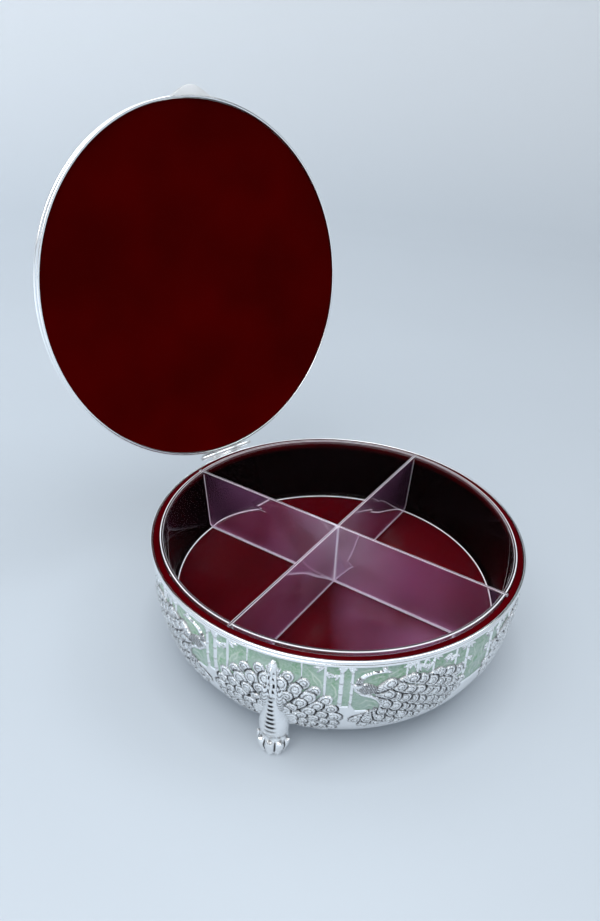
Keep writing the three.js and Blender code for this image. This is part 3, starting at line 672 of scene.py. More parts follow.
def paint_bird(relief):
    """The bird itself: scaled breast and neck, small crested head, and a pale line under its body."""
    x, y = relief.x / DEGREE_WIDTH, relief.y
    breast = ((x - 24.6) / 3.3) ** 2 + ((y - 23 - 0.5 * (x - 24.6)) / 4.0) ** 2 < 1
    relief.raise_where(breast, 0.6)
    relief.scales(breast & (y < 27), 1.35, 0.25, 0.55)
    belly = on_wall([(21.6, 20), (22, 24), (23.6, 27.4), (26, 29.4), (28, 33), (29.2, 38), (29.2, 45)])
    relief.ridge(belly, [0.7, 1.0, 1.1, 1.0, 0.8, 0.7, 0.6], 0.0, 0.55)
    neck = on_wall([(22.6, 20.5), (22.9, 16.5), (24.1, 12.9), (26, 10.9), (28.3, 10.4)])
    relief.ridge(neck, [2.4, 1.9, 1.25, 0.8, 0.65], 0.0, 0.62)
    low_neck = (np.hypot((x - 22.9) * DEGREE_WIDTH, y - 17) < 3.3) & (relief.height > 0.05)
    relief.scales(low_neck, 1.25, 0.15, 0.4)
    relief.ridge(on_wall([(28.2, 10.2), (29.5, 10.0)]), [0.8, 1.15], 0.05, 0.6)
    relief.ridge(on_wall([(29.6, 10.2), (31.0, 11.4)]), [0.7, 0.2], 0.0, 0.45)
    for lean in (-0.5, 0.1, 0.7):
        relief.ridge(on_wall([(29.2, 9.4), (29.1 + lean, 7.6)]), [0.22, 0.42], 0.0, 0.4)


def paint_canes(relief):
    for place, foot, width in CANES:
        relief.bamboo(place * DEGREE_WIDTH, CANE_TOP, foot, width, -0.25)
    for place, foot, width in STALKS:
        relief.ridge(on_wall([(place, CANE_TOP), (place + 0.15, foot)]), [width, width], -0.25, 0.45)
    for place, down, aims, length in SPRAYS:
        relief.spray(place * DEGREE_WIDTH, down, aims, length, LEAF_WIDTH, -0.2)


def wall_room(down):
    """How far the relief may stand out without passing the rim, and how far it is sunk for that."""
    room = RIM_RADIUS - 0.15 - np.interp(down, WALL_LENGTH, WALL_RADII)
    return room, np.clip(TALLEST - room, 0, None)


def wall_relief():
    """Heights and darkness over the half sector, from the rim band to the base."""
    rows = np.arange(RELIEF_TOP, WALL_LENGTH[-1], CELL)
    x, y = np.meshgrid(ACROSS, rows)
    green = y < within(x / DEGREE_WIDTH, GREEN_FOOT)
    relief = Relief(x, y, np.where(green, RECESS, 0.0))
    paint_canes(relief)
    paint_tail(relief)
    paint_bird(relief)
    paint_fan(relief)
    relief.raise_where(y < ENAMEL_TOP + 0.4, 0.6)
    base_fade = np.clip((WALL_LENGTH[-1] - y) / 9, 0, 1)
    relief.height *= np.where(relief.height > 0, base_fade, 1)
    relief.height = relief.smoothed(relief.height, CELL * 0.42)
    room, sink = wall_room(y)
    relief.height = np.minimum(relief.height - sink, room)
    return rows, relief


def spread_round(field):
    """A half sector repeated and mirrored round the whole bowl, starting at the +X side."""
    sector = degrees(SECTOR_TURN)
    angles = np.arange(COLUMNS) * 360 / COLUMNS
    from_leg = np.abs((angles - degrees(HINGE_SIDE) + sector / 2) % sector - sector / 2)
    return field[:, np.rint(from_leg / (sector / 2) * HALF_COLUMNS).astype(int)]


def filled(form, first, field):
    """A value for each point of a form: 0, but for the field's, which start at point first."""
    values = np.zeros(len(form[0]))
    values[first : first + field.size] = field.ravel()
    return values


BAND_THICKNESS, BAND_HEIGHT = 1.7, 4.7


def bowl_wall():
    """The cast wall with its relief, its plain base and its inside, as one closed form."""
    rows, relief = wall_relief()
    heights = spread_round(relief.height)
    floor = WALL_THICKNESS - WALL_DEPTH
    neck = RIM_RADIUS - BAND_THICKNESS - 0.3
    start = [(0, floor), (WALL_BASE * 0.5, floor), (WALL_BASE * 0.9, floor)]
    start += [wall_at(length, SKIN) for length in np.linspace(WALL_LENGTH[-1] - 3, 12, 9)]
    start += [(neck - 1.6, -5), (neck - 1.6, -3), (neck, -3)]
    outer = [wall_at(length, heights[i]) for i, length in enumerate(rows)]
    base = [(radius, -WALL_DEPTH) for radius in (WALL_BASE - 1.5, WALL_BASE * 0.8, WALL_BASE * 0.3, 0)]
    form = lathe([*start, *outer, *base], COLUMNS)
    first = 1 + (len(start) - 1) * COLUMNS
    fields = {"Oxide": relief.oxide(), "Carved": relief.carved}
    values = {name: filled(form, first, spread_round(field)) for name, field in fields.items()}
    add_piece("bowl_wall", form, TO_RIM, "bowl", RELIEF_SILVER, "bowl_shell", 180, values)


def bowl_enamel():
    """The enamel between the relief, with pale veins."""
    rows = np.arange(ENAMEL_TOP - 0.4, ENAMEL_FOOT, CELL * 1.1)
    x, y = np.meshgrid(ACROSS, rows)
    sink = wall_room(rows)[1]
    veins = Relief(x, y, np.zeros_like(x))
    for vein in VEINS:
        veins.ridge(on_wall(vein), [0.25] + [0.55] * (len(vein) - 2) + [0.25], 0, 1)
    lines = spread_round(veins.smoothed(veins.height, CELL * 0.6))
    outer = [wall_at(length, ENAMEL_LEVEL - sink[i] + 0.12 * lines[i]) for i, length in enumerate(rows)]
    inner = [wall_at(rows[i], RECESS - sink[i] - 0.5) for i in (-1, len(rows) // 2, 0)]
    form = lathe([*inner, *outer], COLUMNS, closed=True)
    values = {"Vein": filled(form, len(inner) * COLUMNS, lines)}
    add_piece("bowl_enamel", form, TO_RIM, "bowl", ENAMEL, "bowl_enamel_belt", 60, values)


# Turned pieces. The bands' outlines give how far each point is in from the rim's radius, and its height.
ROUND = 360
BOWL_BAND = [
    (BAND_THICKNESS, -BAND_HEIGHT), (BAND_THICKNESS, 0), (0.5, 0), (0, -0.4), (0, -1.1), (0.7, -1.6),
    (0.7, -2.5), (0.1, -3.0), (0, -4.2), (0.5, -BAND_HEIGHT),
]
LID_BAND = [
    (1.9, 0.3), (1.9, 7.4), (0.5, 7.4), (0, 6.9), (0, 5.8), (0.8, 5.2), (0.8, 3.0), (0, 2.4), (0, 0.8),
    (0.5, 0.3),
]


def rim_bands():
    """The two bands where bowl and lid meet: a lip, a hollow and a bead."""
    for body, band, place in (("bowl", BOWL_BAND, TO_RIM), ("lid", LID_BAND, LID_OPEN)):
        outline = [(RIM_RADIUS - inset, height) for inset, height in band]
        form = lathe(round_corners(outline, 0.5), ROUND, closed=True)
        add_piece(f"{body}_band", form, place, body, BAND_SILVER, f"{body}_rim_band", 40)


def bowl_liner():
    """The red liner: a flange under the rim, a drafted wall and a flat floor."""
    flange = RIM_RADIUS - BAND_THICKNESS - 0.35
    top, wall, floor, foot = flange - 4, 1.2, -50.9, 118
    flange_top, flange_low = -0.4, -2.4
    outline = [
        (0, floor), (foot - 4, floor), (foot, floor + 4), (top, flange_top), (flange, flange_top),
        (flange, flange_low), (top + wall, flange_low), (foot + wall, floor + 2.5),
        (foot + wall - 4, floor - 1.5), (0, floor - 1.5),
    ]
    form = lathe(with_rows(round_corners(outline, 1.6, steps=5, closed=False)), ROUND)
    x, y, z = form[0].T
    # Painted shade: near black on the wall from just under the flange, and a fifth of that on the floor
    depth = np.where(np.hypot(x, y) < foot - 3.5, 0.2, np.clip((-1.4 - z) / 3, 0, 1))
    values = {"Depth": depth}
    add_piece("red_liner", form, TO_RIM, "bowl", LINER_RED, "bowl_liner", 50, values)


# Clear tray and its cross divider
TRAY_RIM = 123.3
TRAY_RISE = 1.4
TRAY_WALL_TOP = TRAY_RIM - 2.1
TRAY_LEDGE = -1.6
TRAY_FOOT = 115.6
TRAY_UNDER = -50.6
TRAY_FLOOR = -48.4
CHAMFER = 2.5
SHEET_HALF = 0.95
TAB_DEPTH = 1.5
# The order of the materials of a clear piece
PLAIN, RIM, EDGE_AND_HIGHLIGHT, FLOOR_SHEEN = range(4)


def plate(start, end, near, far, low, high, bevel):
    return slab([(start, near), (end, near), (end, far), (start, far)], low, high, bevel)


def cut_away(piece, form):
    """Takes a closed form out of a piece."""
    tool = add_object("cutter", new_mesh("cutter", *form))
    cut = piece.modifiers.new("cut", "BOOLEAN")
    cut.operation, cut.object, cut.solver = "DIFFERENCE", tool, "EXACT"
    shape = bpy.data.meshes.new_from_object(piece.evaluated_get(bpy.context.evaluated_depsgraph_get()))
    piece.modifiers.clear()
    materials = list(piece.data.materials)
    piece.data = shape
    shape.materials.clear()
    for material in materials:
        shape.materials.append(material)
    bpy.data.objects.remove(tool)


def clear_tray():
    """The clear tray, with a notch in its rim for each tab of the divider."""
    outline = [
        (0, TRAY_FLOOR), (TRAY_FOOT - CHAMFER, TRAY_FLOOR), (TRAY_FOOT, TRAY_FLOOR + CHAMFER),
        (TRAY_WALL_TOP, TRAY_LEDGE), (TRAY_WALL_TOP, TRAY_RISE), (TRAY_RIM - 0.85, TRAY_RISE),
        (TRAY_RIM, TRAY_RISE), (TRAY_RIM, TRAY_LEDGE), (TRAY_WALL_TOP + 1.5, TRAY_LEDGE),
        (TRAY_FOOT + 1.6, TRAY_UNDER + CHAMFER), (TRAY_FOOT - 0.9, TRAY_UNDER), (0, TRAY_UNDER),
    ]
    form = lathe(round_corners(outline, 0.6, closed=False), ROUND)
    finish = [CLEAR, CLEAR_RIM, CLEAR_EDGE_AND_HIGHLIGHT, CLEAR_FLOOR_SHEEN]
    tray = add_piece("clear_tray", form, TO_RIM, "tray", finish, "tray", 40)
    half, low = SHEET_HALF + 0.3, TRAY_RISE - TAB_DEPTH - 0.25
    block = plate(TRAY_WALL_TOP - 1.5, TRAY_RIM + 1.5, -half, half, low, TRAY_RISE + 2, 0.05)
    turns = [turned(DIVIDER_TURN + quarter * pi / 2, "Z") for quarter in range(4)]
    cut_away(tray, joined(*[moved(block, TO_RIM @ turn) for turn in turns]))
    corner_start = TRAY_FOOT - 2.9
    for face in tray.data.polygons:
        x, y, z = (c / MM for c in face.center)
        height, radius, tilt = z - RIM_Z, hypot(x, y - AXIS_Y), abs(face.normal[2])
        # Painted highlights: the rim's top and a thin band in the floor's corner get the pale edge material
        lip = height > TRAY_RISE - 0.7 and (radius > TRAY_RIM - 0.75 or 0.2 < tilt < 0.97)
        on_floor = radius < corner_start and abs(height - TRAY_FLOOR) < 0.1
        corner_highlight = corner_start < radius < TRAY_FOOT and abs(height - TRAY_FLOOR - 0.5) < 0.5
        plain = RIM if height > -1.5 else PLAIN
        edge = lip or (corner_highlight and 0.78 < tilt < 0.98)
        face.material_index = EDGE_AND_HIGHLIGHT if edge else FLOOR_SHEEN if on_floor else plain
        face.use_smooth = True
    tray.data.set_sharp_from_angle(angle=radians(40))


def divider_sheets():
    """Two halved sheets that cross, with polished faces and sawn edges. The first is open at its top."""
    bottom, top, under_tab = TRAY_FLOOR + 0.3, TRAY_RISE, TRAY_RISE - TAB_DEPTH
    wall_top, wall_low, tab_end = TRAY_RIM - 2.7, 115.0, TRAY_RIM + 1.8
    middle, slot = (top + bottom) / 2, SHEET_HALF + 0.15
    right = [
        (wall_low - CHAMFER, bottom), (wall_low, bottom + CHAMFER), (wall_top, TRAY_LEDGE),
        (wall_top, under_tab), (tab_end, under_tab), (tab_end, top),
    ]
    left = [(-x, z) for x, z in right[::-1]]
    for number, turn, end in ((1, pi / 2, top), (2, 0.0, bottom)):
        notch = [(slot, end), (slot, middle), (-slot, middle), (-slot, end)]
        outline = [*right, *notch, *left] if end == top else [*right, *left, *notch[::-1]]
        form = slab(outline, -SHEET_HALF, SHEET_HALF, 0.4)
        stand = TO_RIM @ turned(DIVIDER_TURN + turn, "Z") @ turned(pi / 2, "X")
        finish = [CLEAR_SHEET, CLEAR_RIM, CLEAR_EDGE_AND_HIGHLIGHT]
        name, node = f"clear_sheet_{number}", f"divider_sheet_{number}"
        sheet = add_piece(name, form, stand, "divider", finish, node, 30)
        across = (stand.to_3x3() @ Vector((0, 0, 1))).normalized()
        for face in sheet.data.polygons:
            facing = abs(face.normal.dot(across))
            on_top = facing < 0.05 and face.normal[2] > 0.9
            on_tab = hypot(face.center[0], face.center[1] - AXIS_Y * MM) > (wall_top - 0.5) * MM
            face.material_index = PLAIN if facing > 0.95 else RIM if on_top or on_tab else EDGE_AND_HIGHLIGHT


# Legs: a peacock that stands on its scalloped foot, its head at the top
LEG_TOP_DEPTH = 8.2
LEG_CENTRE = 122.5
LEG_ROWS, LEG_COLUMNS = 200, 128
# Height share, half width, centre's distance outwards, half depth
LEG_SHAPE = [
    (0.0, 7.4, 0.8, 6.4), (0.05, 8.6, 0.9, 7.1), (0.11, 9.7, 1.0, 7.8), (0.14, 9.0, 0.6, 7.0),
    (0.17, 8.2, 0.2, 6.4), (0.22, 9.2, 0.1, 7.5), (0.28, 9.6, 0.0, 8.0), (0.34, 9.0, 0.3, 7.6),
    (0.41, 7.4, 1.3, 6.6), (0.48, 5.8, 2.5, 5.4), (0.55, 4.7, 3.4, 4.6), (0.63, 3.9, 4.1, 4.0),
    (0.72, 3.4, 4.6, 3.6), (0.82, 3.1, 5.0, 3.3), (0.88, 2.8, 5.3, 3.0), (0.925, 3.2, 5.5, 3.2),
    (0.96, 2.9, 5.5, 3.0), (0.985, 1.9, 5.3, 2.3), (1.0, 0.5, 5.2, 0.8),
]
RUFFLE_LEAVES = 8
BREAST_SCALES, SCALE_RISE = 10, 3.7
NECK_STRANDS = 7
# Height below the rim plane, distance from the leg's middle and half length
TUFTS = [(-17, 3.6, 2.8), (-21, 4.0, 3.2), (-25.5, 4.5, 3.4), (-30, 5.2, 3.6), (-34.5, 5.9, 3.8)]
TUFT_LEAN = radians(-24)
TUFT_OUT, TUFT_RADII = 4.2, (1.5, 0.85)
WING_PLACE, WING_RADII, WING_LEAN = (2.6, 4.9, -42), (4.2, 2.6, 12), 0.14
CREST_RADII = (0.5, 0.5, 0.75)


def smooth_through(shares, column):
    """A smooth curve through one column of the leg's shape."""
    places, values = np.array(LEG_SHAPE)[:, [0, column]].T
    slopes = np.gradient(values, places)
    i = np.clip(np.searchsorted(places, shares) - 1, 0, len(places) - 2)
    span = places[i + 1] - places[i]
    t = (shares - places[i]) / span
    first = (2 * t**3 - 3 * t**2 + 1) * values[i] + (t**3 - 2 * t**2 + t) * span * slopes[i]
    return first + (-2 * t**3 + 3 * t**2) * values[i + 1] + (t**3 - t**2) * span * slopes[i + 1]


def step_up(value, start, end):
    """0 before start and 1 after end, smooth between."""
    t = np.clip((value - start) / (end - start), 0, 1)
    return t * t * (3 - 2 * t)


def leg_surface():
    """Points of the bird's body with ruffle, scales and neck feathers, and how dark each is."""
    shares = np.linspace(0, 1, LEG_ROWS)
    angles = np.arange(LEG_COLUMNS) * 2 * pi / LEG_COLUMNS
    share, angle = np.meshgrid(shares, angles, indexing="ij")
    width, shift, depth = (smooth_through(share, k) for k in (1, 2, 3))
    up = share * (RIM_Z - LEG_TOP_DEPTH)
    # The ruffle of leaves at the foot
    crease = np.abs(np.sin(angle * RUFFLE_LEAVES / 2))
    foot = 1 - step_up(share, 0.13, 0.16)
    tips = hump(share - 0.125, 0.016) * (1 - crease)
    hem = 1.3 * crease**1.5 * (1 - step_up(share, 0, 0.05)) + 1.6 * tips
    swell = foot * (0.7 - 1.1 * crease**4) * (0.6 + 0.4 * step_up(share, 0, 0.1)) + 0.9 * tips
    # Dark in the ruffle's creases and in a line just under the breast: oxidised silver with painted shade
    dark = foot * step_up(crease, 0.93, 1.0) * step_up(share, 0.02, 0.06)
    dark = dark + 0.9 * hump(share - 0.152, 0.013) * (1 - crease)
    # The scales of the breast, strongest in its middle, with dark bars of painted shade under their edges
    row, lap = np.divmod(up / SCALE_RISE, 1)
    arch = np.abs(np.cos(angle * BREAST_SCALES / 2 + row % 2 * pi / 2)) ** 0.8
    edge = step_up(lap, 0.62 * (1 - arch), 0.62 * (1 - arch) + 0.12)
    breast = step_up(share, 0.16, 0.18) * (1 - step_up(share, 0.62, 0.68))
    middle = hump(np.minimum(angle, 2 * pi - angle), 0.36, 4)
    swell = swell + breast * (edge * (1 - 0.8 * lap) * (0.06 + 0.4 * middle) - 0.06)
    bar = np.clip(1.6 - np.abs(lap - 0.76) / 0.21, 0, 1)
    dark = np.maximum(dark, breast * bar * 1.2 * middle * (0.15 + 0.85 * step_up(share, 0.2, 0.34)))
    # The strands of the neck
    neck = step_up(share, 0.6, 0.66) * (1 - step_up(share, 0.88, 0.92))
    strand = np.cos(angle * NECK_STRANDS + 0.5 * np.sin(up * 0.7))
    broken = step_up(np.sin(up * 1.15 + 2.3 * angle) + 0.6 * np.sin(up * 0.47 - 3 * angle), -0.5, 0.5)
    swell = swell + neck * (0.32 * strand + 0.3 * broken)
    dark = np.maximum(dark, neck * step_up(-strand, -0.1, 0.5) * broken)
    across = (width + swell * 0.9) * np.sin(angle)
    out = LEG_CENTRE + shift + (depth + swell) * np.cos(angle)
    return across, out, up + hem - RIM_Z, np.clip(dark, 0, 1)


def ball(centre, radii, lean=0.0, rows=12, columns=18):
    """An ellipsoid in the leg's own plane: outwards, sideways, up."""
    turns = np.linspace(-pi / 2, pi / 2, rows)
    points, faces = lathe([(cos(turn), sin(turn)) for turn in turns], columns)
    return points * radii @ np.array(Matrix.Rotation(lean, 3, "Y")).T + centre, faces


def leg_wing(side):
    """A folded wing beside the body, with slanting feathers, and how dark each point is."""
    place = (LEG_CENTRE + WING_PLACE[0], side * WING_PLACE[1], WING_PLACE[2])
    points, faces = ball(place, WING_RADII, WING_LEAN, 48, 40)
    stripe = (points[:, 2] / 2.9 + 0.34 * (points[:, 0] - LEG_CENTRE)) % 1
    feather = np.minimum(stripe / 0.75, (1 - stripe) / 0.25)
    points[:, 1] += side * 0.55 * (feather - 0.6)
    return (points, faces), np.clip(1.3 - 3.2 * feather, 0, 1)


def leg_tufts():
    """Short feathers that stand off both sides of the neck, and how dark each point is."""
    forms, shades = [], []
    for side in (-1, 1):
        lean = np.array(Matrix.Rotation(side * TUFT_LEAN, 3, "X")).T
        for height, aside, length in TUFTS:
            points, faces = ball((0, 0, 0), (*TUFT_RADII, length), rows=14, columns=16)
            forms.append((points @ lean + (LEG_CENTRE + TUFT_OUT, side * aside, height), faces))
            # Painted shade: each tuft darkens towards its lower end
            shades.append(np.clip(1 - (points[:, 2] / length + 0.9) * 1.6, 0, 1))
    return joined(*forms), np.concatenate(shades)


def leg_form():
    """One leg in its own plane, X outwards, Y sideways and Z up from the rim plane, and how dark it is."""
    across, out, up, dark = leg_surface()
    wall = np.interp(np.clip(-up, 0, WALL_DEPTH), WALL_DEPTHS, WALL_RADII) - 1.0
    out = np.maximum(out, np.where(-up < WALL_DEPTH - 0.5, wall, 0))
    body = np.stack([out, across, up], axis=-1).reshape(-1, 3), tube(LEG_ROWS, LEG_COLUMNS)
    x, z = LEG_CENTRE + 5.6, -LEG_TOP_DEPTH - 3.4
    head = [ball((x + 0.4, 0, z), (2.7, 2.2, 2.2)), ball((x + 3.2, 0, z - 0.9), (1.9, 0.7, 0.6), 0.45)]
    for k in (-1, 0, 1):
        place = (x - 0.3 + 0.5 * k, 1.3 * k, z + 2.7 - 0.25 * abs(k))
        head.append(ball(place, CREST_RADII, rows=8, columns=10))
    parts = [(body, dark.ravel()), *[(form, np.zeros(len(form[0]))) for form in head]]
    parts += [leg_wing(-1), leg_wing(1), leg_tufts()]
    return joined(*[form for form, _ in parts]), np.concatenate([shade for _, shade in parts])


def legs():
    form, dark = leg_form()
    values = {"Oxide": dark, "Carved": np.full(len(dark), 0.5)}
    for i, node in enumerate(("leg_back", "leg_front_left", "leg_front_right")):
        place = TO_RIM @ turned(HINGE_SIDE + i * SECTOR_TURN, "Z")
        add_piece(f"peacock_{node}", form, place, "bowl", RELIEF_SILVER, node, 50, values)


# Lid, drawn closed and opened by LID_OPEN
LID_COLUMNS = 720
LID_SECTORS = 12
LID_CELL = 0.9
LID_EDGE = 9.0
LID_RISE = 27.6
LID_RADIUS = RIM_RADIUS - 0.6
LID_SINK = -0.45
BELT_IN, BELT_OUT = 92.0, 123.5
BELT_LAP = 0.3
BEAD_RADIUS, BEAD_WAVES = 126.5, 120
KNOB_RADIUS = 9
LINING_RADIUS = RIM_RADIUS - 2.2
# Rings of feathers: radius, place of the first and step to the next as shares of a sector, half width
LID_RINGS = [
    (88, 0.25, 0.5, 6.8), (74, 0, 1, 7.2), (60, 0.25, 0.5, 6.2), (47, 0, 1, 5.4), (35.5, 0.5, 1, 5.2),
    (25, 0, 1, 4.6), (15, 0.5, 1, 3.4),
]
# Canes across the belt: degrees from the sector's middle, half width and crown
SIDE_CANE = 10.5
LID_CANES = [(-1.6, 1.2, 0.45), (1.6, 1.2, 0.45), (SIDE_CANE, 0.7, 0.4)]


def dome(radius, offset=0.0):
    """Radius and height of the dome, moved out by offset."""
    height = LID_EDGE + LID_RISE * (1 - (radius / LID_RADIUS) ** 3)
    slope = 3 * LID_RISE / LID_RADIUS * (radius / LID_RADIUS) ** 2
    size = hypot(1, slope)
    return radius + offset * slope / size, height + LID_SINK + offset / size


def lid_relief():
    """A rosette of eye feathers inside an enamel belt with bamboo, over half of one of twelve sectors."""
    turns = np.arange(LID_COLUMNS // LID_SECTORS // 2 + 1) * 2 * pi / LID_COLUMNS
    radii = np.arange(1.0, LID_RADIUS - 0.2, LID_CELL)
    turn, radius = np.meshgrid(turns, radii)
    belt = (radius > BELT_IN) & (radius < BELT_OUT)
    ground = np.where(belt, RECESS, -0.6)
    relief = Relief(radius * np.sin(turn), radius * np.cos(turn), ground, LID_CELL)
    for k, (ring, first, step, width) in enumerate(LID_RINGS):
        for number in range(-2, 3):
            aim = (first + number * step) * 2 * pi / LID_SECTORS
            place = ring * sin(aim), ring * cos(aim)
            relief.eye_feather(*place, pi / 2 - aim, width, 13, -1.15 + 0.1 * k)
    relief.raise_where(radius < KNOB_RADIUS, -0.5 + 0.35 * bulge(radius / KNOB_RADIUS))
    for place, half, crown in LID_CANES:
        aim = radians(place)
        ends = [(r * sin(aim), r * cos(aim)) for r in (BELT_IN - 1, BELT_OUT + 1)]
        relief.ridge(ends, [half, half], -0.75, crown)
    relief.spray(3.5, 116, (-70, -30, 30, 70), 8, 1.5, -0.7)
    relief.spray(3.5, 104, (-80, -40), 8, 1.5, -0.7)
    relief.spray(radians(SIDE_CANE) * 112, 110, (170, 205), 8, 1.4, -0.7)
    bead = np.cos(turn * BEAD_WAVES) * hump(radius - BEAD_RADIUS, 1.2)
    relief.raise_where(radius >= BELT_OUT, -0.35 + 0.3 * np.clip(bead, 0, 1))
    return radii, relief


def lid_shell():
    """The cast dome with its inside and its seat for the lining, and the enamel in its belt."""
    radii, relief = lid_relief()
    half = len(relief.height[0]) - 1
    step = np.arange(LID_COLUMNS) % (2 * half)
    index = np.where(step > half, 2 * half - step, step)
    heights = np.minimum(relief.height, 0)[:, index]
    skirt = LINING_RADIUS - 1.4
    start = [dome(r, -2.2) for r in np.linspace(0, 124, 10)]
    start += [(skirt, 8.0), (skirt, 3.4), (LINING_RADIUS, 3.4), (LINING_RADIUS, 7.7)]
    start += [(LID_RADIUS, 7.7), (LID_RADIUS, 8.4)]
    outer = [(dome(r)[0], dome(r)[1] + heights[-1 - i]) for i, r in enumerate(radii[::-1])]
    form = lathe([*start, *outer, (0, dome(0)[1] - 0.15)], LID_COLUMNS, turn=HINGE_SIDE)
    first = 1 + (len(start) - 1) * LID_COLUMNS
    fields = {"Oxide": relief.oxide(1.5, 0.12, 0.5), "Carved": relief.carved}
    values = {name: filled(form, first, field[::-1, index]) for name, field in fields.items()}
    add_piece("lid_dome", form, LID_OPEN, "lid", RELIEF_SILVER, "lid_shell", 180, values)
    inner, outer = BELT_IN - BELT_LAP, BELT_OUT + BELT_LAP
    belt = [dome(r, -1.9) for r in np.linspace(inner, outer, 4)]
    belt += [dome(r, -1.0) for r in np.linspace(outer, inner, 24)]
    form = lathe(belt, ROUND, closed=True)
    values = {"Vein": np.zeros(len(form[0]))}
    add_piece("lid_enamel", form, LID_OPEN, "lid", ENAMEL, "lid_enamel_belt", 60, values)


def lid_lining():
    """The glossy dark red disc, a little hollow, with a small rolled edge."""
    radii = np.linspace(0, LINING_RADIUS - 1.2, 22)
    face = [(r, 1.75 + 7.6 * (1 - (r / LINING_RADIUS) ** 2)) for r in radii]
    back = [(r, z + 1.3) for r, z in face]
    edge = [(LINING_RADIUS, 2.9), (LINING_RADIUS, 2.1), (LINING_RADIUS - 0.4, 1.72)]
    form = lathe([*back, *edge, *face[::-1]], ROUND)
    add_piece("lid_lining_disc", form, LID_OPEN, "lid", LINING_RED, "lid_lining", 45)


TAB_HALF, TAB_REACH, TAB_TURN = 18.2, 6.566, radians(3.4)


def thumb_tab():
    """The lug at the front of the lid, bell-shaped, a little off the middle."""
    rim = RIM_RADIUS - 0.2
    xs = np.linspace(-TAB_HALF, TAB_HALF, 41)
    bell = TAB_REACH * (0.5 + 0.5 * np.cos(pi * xs / TAB_HALF)) ** 0.8
    outer = zip(xs, -np.sqrt(rim**2 - xs**2) - bell)
    inner = zip(xs[::-1], -np.sqrt((rim - 0.6) ** 2 - xs[::-1] ** 2))
    form = slab([*outer, *inner], 0.35, 3.4, 0.5)
    place = LID_OPEN @ turned(TAB_TURN, "Z")
    add_piece("thumb_lug", form, place, "lid", TAB_SILVER, "lid_thumb_tab", 40)


# Hinge
AXIS = HINGE_PLACE - Vector((0, AXIS_Y, RIM_Z))
TO_AXIS = Matrix.Translation(AXIS)
ALONG_X = turned(pi / 2, "Y")
BARREL = 1.8
PIN = 0.9
HINGE_HALF = 23.0
KNUCKLE_HALF = 10.1
HEEL_END = 14.4
HEEL_DEPTH, HEEL_LENGTH = 2, 5.4
RIVET_PLACE = 16.3
RIVET_HEAD, RIVET_RISE, SHANK, SHANK_LENGTH = 1.3, 0.85, 0.8, 2.8
LEAF_IN = RIM_RADIUS + 0.3
LEAF_OUT = LEAF_IN + 1.2
# Half of the pin's outline: radius, and place along the pin
PIN_END = [(0, -24.2), (1.1, -24.1), (1.6, -23.6), (1.5, -23.3), (PIN, -23.3)]


def barrel(start, end):
    """A knuckle along X with a bore and softened ends."""
    outline = [(PIN + 0.15, start), (PIN + 0.15, end), (BARREL, end), (BARREL, start)]
    return moved(lathe(round_corners(outline, 0.25), 40, closed=True), TO_AXIS @ ALONG_X)


def leaf(low, high):
    """A plate bent round the rim."""
    reach = asin(HINGE_HALF / LEAF_OUT)
    outline = [(LEAF_IN, low), (LEAF_IN, high), (LEAF_OUT, high), (LEAF_OUT, low)]
    radii, heights = np.array(round_corners(outline, 0.3)).T
    angles = np.linspace(HINGE_SIDE - reach, HINGE_SIDE + reach, 25)
    points = [np.stack([radii * cos(a), radii * sin(a), heights], 1) for a in angles]
    return np.concatenate(points), tube(len(angles), len(radii))


def web(start, end, low, high):
    return plate(start, end, LEAF_IN + 0.1, AXIS.y, low, high, 0.1)


def hinge():
    """Both leaves with their knuckles, the heels that stop the lid, and the pin."""
    knuckle = barrel(-KNUCKLE_HALF, KNUCKLE_HALF)
    form = joined(leaf(-6.2, -1.4), knuckle, web(-KNUCKLE_HALF, KNUCKLE_HALF, -2.6, AXIS.z - 1))
    add_piece("bowl_hinge_leaf", form, TO_RIM, "bowl", BAND_SILVER, "hinge_bowl_leaf")
    near = KNUCKLE_HALF + 0.3
    heel_face = sqrt(LEAF_OUT**2 - near**2) + 0.3 - AXIS.y
    forms = [leaf(AXIS.z + 2.1, AXIS.z + 5.3)]
    for side in (-1, 1):
        start, end = sorted((side * near, side * HINGE_HALF))
        forms += [barrel(start, end), web(start, end, AXIS.z + 1, AXIS.z + 2.25)]
        start, end = sorted((side * near, side * HEEL_END))
        heel = plate(start, end, heel_face, heel_face + HEEL_DEPTH, -HEEL_LENGTH, 0, 0.3)
        forms.append(moved(heel, TO_AXIS @ turned(LID_TURN, "X")))
    form = joined(*forms)
    add_piece("lid_hinge_leaf", form, LID_OPEN, "lid", BAND_SILVER, "hinge_lid_leaf")
    form = lathe([*PIN_END, *[(r, -x) for r, x in PIN_END[::-1]]], 32)
    add_piece("hinge_rod", form, TO_RIM @ TO_AXIS @ ALONG_X, "bowl", STEEL, "hinge_pin")


def rivets():
    """Domed rivets that hold the leaves to the bands."""
    turn = asin(RIVET_PLACE / LEAF_OUT)
    head = [(RIVET_HEAD * cos(t), RIVET_RISE * sin(t)) for t in np.linspace(pi / 2, 0, 6)]
    form = lathe([*head, (SHANK, 0), (SHANK, -SHANK_LENGTH), (0, -SHANK_LENGTH)], 20)
    for body, height, place in (("bowl", -3.8, TO_RIM), ("lid", 5.85, LID_OPEN)):
        out = Matrix.Translation((LEAF_OUT + 0.05, 0, height)) @ ALONG_X
        for side, word in ((-1, "right"), (1, "left")):
            seat = place @ turned(HINGE_SIDE + side * turn, "Z") @ out
            name = f"{body}_rivet_{word}"
            add_piece(name, form, seat, body, BAND_SILVER, f"hinge_{name}")


def screws():
    """The leg screws keep their CAD shape and get plain steel."""
    for name, node in frame["nodes"].items():
        if "screw" in name:
            node.data.materials.clear()
            node.data.materials.append(STEEL)


